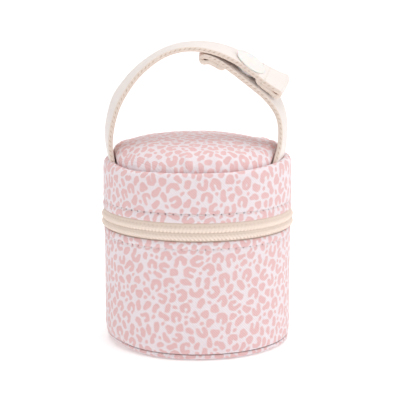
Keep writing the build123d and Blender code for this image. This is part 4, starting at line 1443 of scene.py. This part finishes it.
# Stitching round the inner edge of both linings.
for name, z, body in (("lower_lining_stitch", 47.2, "case_body"),
                      ("upper_lining_stitch", 59.4, "lid")):
    path, normals = ring_path(36.02, z)
    sewing = merge(name, stitches(path, -normals, pitch=3.1, length=2.5, radius=0.17,
                                  sink=0.15, rise=0.05, jitter=0.03), TOP_THREAD)
    register(sewing, "lining_fabric", body)

# ------------------------------------------------------------------ straps
STRAP_STEP = 0.8             # distance between sections
STRAP_START = 2.2            # distance along a strap at which its mesh begins
FACE_SLOT, EDGE_SLOT, BACK_SLOT = 0, 1, 2


def strap_section():
    """Closed outline of (across 0..width, depth 0..-thickness), and each point's slot."""
    points, slots = [], []
    edge = 0.62              # width of the rounded edge
    half = STRAP_THICK / 2
    flat = np.linspace(edge, STRAP_WIDTH - edge, 15)
    bend = np.radians(np.linspace(-70, 70, 8))

    def bow(x):
        return math.sin(math.pi * (x - edge) / (STRAP_WIDTH - 2 * edge))

    def round_edge(x, direction, angles):
        for angle in angles:
            depth = -half + (half - 0.10) * math.sin(angle) / math.sin(math.radians(70))
            points.append((x + direction * edge * math.cos(angle), depth))
            slots.append(EDGE_SLOT)

    for x in flat:
        # a crowned face with a shallow groove beside each edge
        groove = 0.13 * (bell(x - 1.55, 0.5) + bell(STRAP_WIDTH - x - 1.55, 0.5))
        points.append((x, 0.16 * max(0.0, bow(x)) ** 0.6 - 0.08 - groove))
        slots.append(FACE_SLOT)
    round_edge(STRAP_WIDTH - edge, 1, bend[::-1])
    for x in flat[::-1]:
        points.append((x, -STRAP_THICK + 0.08 - 0.05 * bow(x)))
        slots.append(BACK_SLOT)
    round_edge(edge, -1, bend)
    return np.array(points), slots


SECTION, SECTION_SLOTS = strap_section()


def strap_path(strap, start, end, hem=False):
    """Stations (outer point, across, out, distance) along a strap.

    With hem they go on round the fold and back along the tail.
    """
    count = max(2, int(round((end - start) / STRAP_STEP)) + 1)
    at = np.linspace(start, end, count)
    edge, _, across, out = strap.frames(at)
    stations = list(zip(edge, across, out, at))
    if not hem:
        return stations
    edge, along, across, out = strap.frame(end)
    fold = STRAP_THICK + FOLD_EYE        # outer radius of the fold
    for angle in np.radians(np.linspace(12, 180, 15)):
        outward = out * math.cos(angle) + along * math.sin(angle)
        stations.append((edge - out * fold + outward * fold, across, outward,
                         end + angle * 1.2))
    tail = np.linspace(end, end - HEM_LENGTH, 27)[1:]
    for edge, _, across, out, t in zip(*strap.frames(tail), tail):
        back = end - t
        close = ease(back / 3.4) * (2 * FOLD_EYE + 0.42)
        thin = max(0.0, (back - (HEM_LENGTH - strap.skive)) / strap.skive)
        sink = 1.85 * (1 - math.sqrt(max(0.0, 1 - thin * thin)))
        puff = 0.18 * math.sin(math.pi * min(1.0, back / HEM_LENGTH))
        stations.append((edge - out * (2 * fold - close - sink + puff), across, -out,
                         end + 4 + back))
    return stations


def corner_inset(radius, distance):
    """How far a rounded corner draws the edge in, `distance` before the tip."""
    if distance >= radius:
        return 0.0
    return radius - math.sqrt(max(0.0, radius ** 2 - max(0.0, radius - distance) ** 2))


def strap_mesh(name, stations, strap=None, end=None):
    """Sweep the section; with strap and end, the corners of the folded end are rounded."""
    count = len(SECTION)
    depth = SECTION[:, 1]
    if strap:
        fold_edge, along, _, _ = strap.frame(end)
        tip = fold_edge + along * (STRAP_THICK + FOLD_EYE)
    points, pat = [], []
    for edge, across, out, t in stations:
        x = SECTION[:, 0]
        pull = 0.0
        if strap:
            distance = float((tip - edge) @ along)
            near, far = corner_inset(1.2, distance), corner_inset(1.9, distance)
            x = near + x / STRAP_WIDTH * (STRAP_WIDTH - near - far)
            lean = strap.lean * (x / STRAP_WIDTH) * max(0.0, 1 - distance / 8.0)
            pull = lean[:, None] * along
        points.append(edge + x[:, None] * across + depth[:, None] * out + pull)
        pat.append(np.stack([x, np.full(count, t), depth], -1))
    last = (len(stations) - 1) * count
    faces = list(grid_faces(len(stations), count, wrap_columns=True))
    faces += [range(count), range(last, last + count)]
    ring_slots = [slot if slot == following else EDGE_SLOT for slot, following
                  in zip(SECTION_SLOTS, SECTION_SLOTS[1:] + SECTION_SLOTS[:1])]
    face_slots = ring_slots * (len(stations) - 1) + [EDGE_SLOT] * 2
    piece = new_object(name, np.concatenate(points), faces,
                       [STRAP_FACE, STRAP_EDGE, STRAP_BACK_SHADED], pat=np.concatenate(pat),
                       face_slots=face_slots)
    fix_normals(piece)
    # the cut ends are flat, with a sharp rim
    mesh = piece.data
    for face in mesh.polygons:
        if len(face.vertices) > 4:
            face.use_smooth = False
    sharp = (mesh.attributes.get("sharp_edge")
             or mesh.attributes.new("sharp_edge", "BOOLEAN", "EDGE"))
    ends = set(range(count)) | set(range(last, last + count))
    for edge in mesh.edges:
        a, b = edge.vertices
        if (a in ends and b in ends and abs(a - b) in (1, count - 1)
                and (a < count) == (b < count)):
            sharp.data[edge.index].value = True
    return piece


def edge_threads(name, stations):
    """The thread that closes each edge: slanted stitches high on the edge's side."""
    edge, across, out = [np.array(rows) for rows in list(zip(*stations))[:3]]
    parts = []
    for x, sign in ((0.0, -1), (STRAP_WIDTH, 1)):
        path = edge + across * (x - sign * 0.02) - out * 0.72
        parts += stitches(path, across * sign + out * 0.45, pitch=2.05, length=1.12,
                          radius=0.17, sink=0.10, rise=-0.01, slant=-0.42 * sign,
                          jitter=0.05, start=0.9)
    return merge(name, parts, STRAP_THREAD)


def cross_row(edge, across, out):
    """A row of stitches from side to side."""
    at = np.linspace(1.0, STRAP_WIDTH - 1.0, 60)
    path = edge + at[:, None] * across + out * 0.05
    return stitches(path, np.tile(out, (60, 1)), pitch=2.6, length=2.2, radius=0.22,
                    sink=0.18, rise=0.06, jitter=0.02)


HEM_ROW_INSET = 7.2          # from the fold back to the hem's stitches
# The hem thread over a side of the folded end: distance outside the side, depth.
HEM_WRAP = [(-0.75, -0.02), (-0.25, 0.05), (0.02, 0.5), (0.07, 1.2), (0.03, 1.9), (0.07, 2.6),
            (0.05, 3.3), (-0.25, 3.75), (-0.75, 3.9)]


def hem_threads(name, strap, end):
    """A row on each face of the folded end, joined over both sides."""
    edge, _, across, out = strap.frame(end - HEM_ROW_INSET)
    parts = cross_row(edge, across, out)
    for x, sign in ((0.0, -1.0), (STRAP_WIDTH, 1.0)):
        path = np.array([edge + across * (x + sign * outside) - out * depth
                         for outside, depth in HEM_WRAP])
        parts.append(thread(path, np.tile(across * sign, (len(path), 1)), radius=0.20))
    parts += cross_row(edge - out * (2 * STRAP_THICK - 0.42 + 0.15), across, -out)
    return merge(name, parts, HEM_THREAD)


SPLIT = LONG.knots[9]        # where the long strap's leg meets its snap end
FLEX = LONG.knots[11]        # where the snap end bends when it is opened
LONG_END, SHORT_END = LONG.knots[-1] - 2.0, SHORT.knots[-1] - 2.0

leg_path = strap_path(LONG, STRAP_START, SPLIT)
long_leg = strap_mesh("long_strap_leg", leg_path)
snap_end = strap_mesh("long_strap_snap_end", strap_path(LONG, SPLIT, LONG_END, hem=True),
                      LONG, LONG_END)
stud_end = strap_mesh("short_strap_stud_end",
                      strap_path(SHORT, STRAP_START, SHORT_END, hem=True), SHORT, SHORT_END)
leg_thread = edge_threads("long_strap_leg_thread", leg_path)
snap_thread = edge_threads("long_strap_snap_end_thread", strap_path(LONG, SPLIT, LONG_END))
short_thread = edge_threads("short_strap_thread", strap_path(SHORT, STRAP_START, SHORT_END))
long_hem = hem_threads("long_strap_hem_thread", LONG, LONG_END)
short_hem = hem_threads("short_strap_hem_thread", SHORT, SHORT_END)

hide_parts("strap_root_left", "strap_long")
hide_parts("strap_long_tip")
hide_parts("strap_root_right", "strap_short")

# The handle's swing point, and where in metres the long strap would bend when the handle
# swings; nothing here bends the legs.
swing = next(joint for joint in frame["joints"] if joint["name"] == "handle_swing")
swing_point = np.array(swing["pos_m"]) / MM
for piece in (long_leg, leg_thread):
    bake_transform(piece)
for piece in (stud_end, short_thread):
    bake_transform(piece)
FLEX_HALF = 4.5
flex_start = tuple(LONG.middle(FLEX - FLEX_HALF) * MM)
flex_end = tuple(LONG.middle(FLEX + FLEX_HALF) * MM)
for piece in (snap_end, snap_thread):
    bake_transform(piece)
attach(long_hem, "strap_tip")
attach(short_hem, "handle")

# ------------------------------------------------------------------ CAD parts that stay
# Part, material, bevel width (0 for none).
CAD_FINISHES = [
    ("zipper_slider", METAL, 0.10), ("zipper_pull", METAL, 0.10),
    ("snap_cap_outer", SNAP, 0.06), ("snap_cap_inner", SNAP, 0.06),
    ("snap_socket", SNAP, 0.06), ("snap_stud", SNAP, 0.06),
    ("powder_tub", TUB, 0), ("chamber_divider", DIVIDER, 0.15),
    ("seal_ring", SEAL, 0), ("pour_lid", POUR_LID, 0.12),
]
for node, material, width in CAD_FINISHES:
    part = frame["nodes"][node]
    part.data.materials.clear()
    part.data.materials.append(material)
    if width:
        bevel = part.modifiers.new("Bevel", "BEVEL")
        bevel.width = width * MM
        bevel.segments = 2
        bevel.limit_method = "ANGLE"
        bevel.angle_limit = math.radians(30)
        bevel.harden_normals = False


# ------------------------------------------------------------------ stage, world, lights
def floor_material(name):
    mat = Shader(name)
    patchy = mat.noise(mat.object_mm(), scale=0.01, detail=3.0, rough=0.5)
    color = mat.mix(patchy, (0.955, 0.955, 0.955, 1.0), (0.965, 0.965, 0.965, 1.0))
    mat.finish(color, rough=0.9, normal=mat.bump(patchy, strength=0.02, dist=0.0002),
               spec=0.05)
    # paper far behind the object glows more, as if lit by lamps of its own
    place = mat.node("ShaderNodeTexCoord").outputs["Object"]
    distance = mat.node("ShaderNodeVectorMath", [(0, place)],
                        operation="LENGTH").outputs["Value"]
    glow = map_range(mat.tree, distance, from_min=0.25, from_max=1.3,
                     to_min=0.222, to_max=0.455)
    put(mat.tree, mat.bsdf.inputs["Emission Color"], (1, 1, 1, 1))
    put(mat.tree, mat.bsdf.inputs["Emission Strength"], glow)
    return mat.material


FLOOR_HALF, FLOOR_LINES = 3000.0, 24
floor_lines = np.linspace(-FLOOR_HALF, FLOOR_HALF, FLOOR_LINES)
floor = new_object("floor", [(x, y, 0.0) for x in floor_lines for y in floor_lines],
                   grid_faces(FLOOR_LINES, FLOOR_LINES), smooth=False)
floor.data.materials.append(floor_material("floor_paper"))
floor.location.z = -0.0002


def build_world():
    """White to the camera; as a light it is weaker, and weakest on the left."""
    world = bpy.data.worlds.new("studio")
    bpy.context.scene.world = world
    world.use_nodes = True
    tree = world.node_tree
    background = tree.nodes["Background"]
    camera_ray = tree.nodes.new("ShaderNodeLightPath").outputs["Is Camera Ray"]
    direction = tree.nodes.new("ShaderNodeTexCoord").outputs["Generated"]
    split = tree.nodes.new("ShaderNodeSeparateXYZ")
    put(tree, split.inputs[0], direction)
    light = map_range(tree, split.outputs["X"], from_min=-1.0, from_max=1.0,
                      to_min=0.510, to_max=0.708)
    strength = map_range(tree, camera_ray, from_min=0.0, from_max=1.0,
                         to_min=light, to_max=1.2)
    put(tree, background.inputs[0], (1.0, 1.0, 1.0, 1))
    put(tree, background.inputs[1], strength)


def area_light(name, location, target, size, power):
    """A white rectangular lamp; places and sizes in metres, power in watts."""
    light = bpy.data.lights.new(name, "AREA")
    light.shape = "RECTANGLE"
    light.size, light.size_y = size
    light.energy = power
    light.color = (1, 1, 1)
    lamp = bpy.data.objects.new(name, light)
    lamp.location = location
    aim = Vector(target) - Vector(location)
    lamp.rotation_euler = aim.to_track_quat("-Z", "Y").to_euler()
    bpy.context.scene.collection.objects.link(lamp)


build_world()
area_light("key", location=(1.20, 0.00, 0.45), target=(0, 0, 0.06), size=(0.8, 0.9), power=2.35)
area_light("fill", location=(-0.5, -1.3, 0.9), target=(0, 0, 0.06), size=(1.2, 1.0), power=0.2)
area_light("top", location=(0.0, 0.0, 1.5), target=(0, 0, 0.05), size=(1.2, 1.2), power=11.7)

# ------------------------------------------------------------------ camera
lens = bpy.data.cameras.new("cam")
lens.sensor_width = 36.0
lens.sensor_fit = "HORIZONTAL"
lens.lens = 131.472
lens.shift_x = 0.006575
lens.clip_end = 50
lens.clip_start = 0.01
camera = bpy.data.objects.new("cam", lens)
camera.location = (0.0, -0.615, 0.1728)
camera.rotation_euler = (math.pi / 2 - 0.182, 0, 0)   # tipped 0.182 rad below level
bpy.context.scene.collection.objects.link(camera)
bpy.context.scene.camera = camera
bpy.context.scene.view_settings.view_transform = "Standard"
bpy.context.scene.view_settings.look = "None"

# ------------------------------------------------------------------ print
for piece in list(bpy.data.objects):
    if (piece.type == "MESH" and "pat" in piece.data.attributes
            and PRINT.name in [slot.name for slot in piece.data.materials if slot]):
        print_spots(piece)
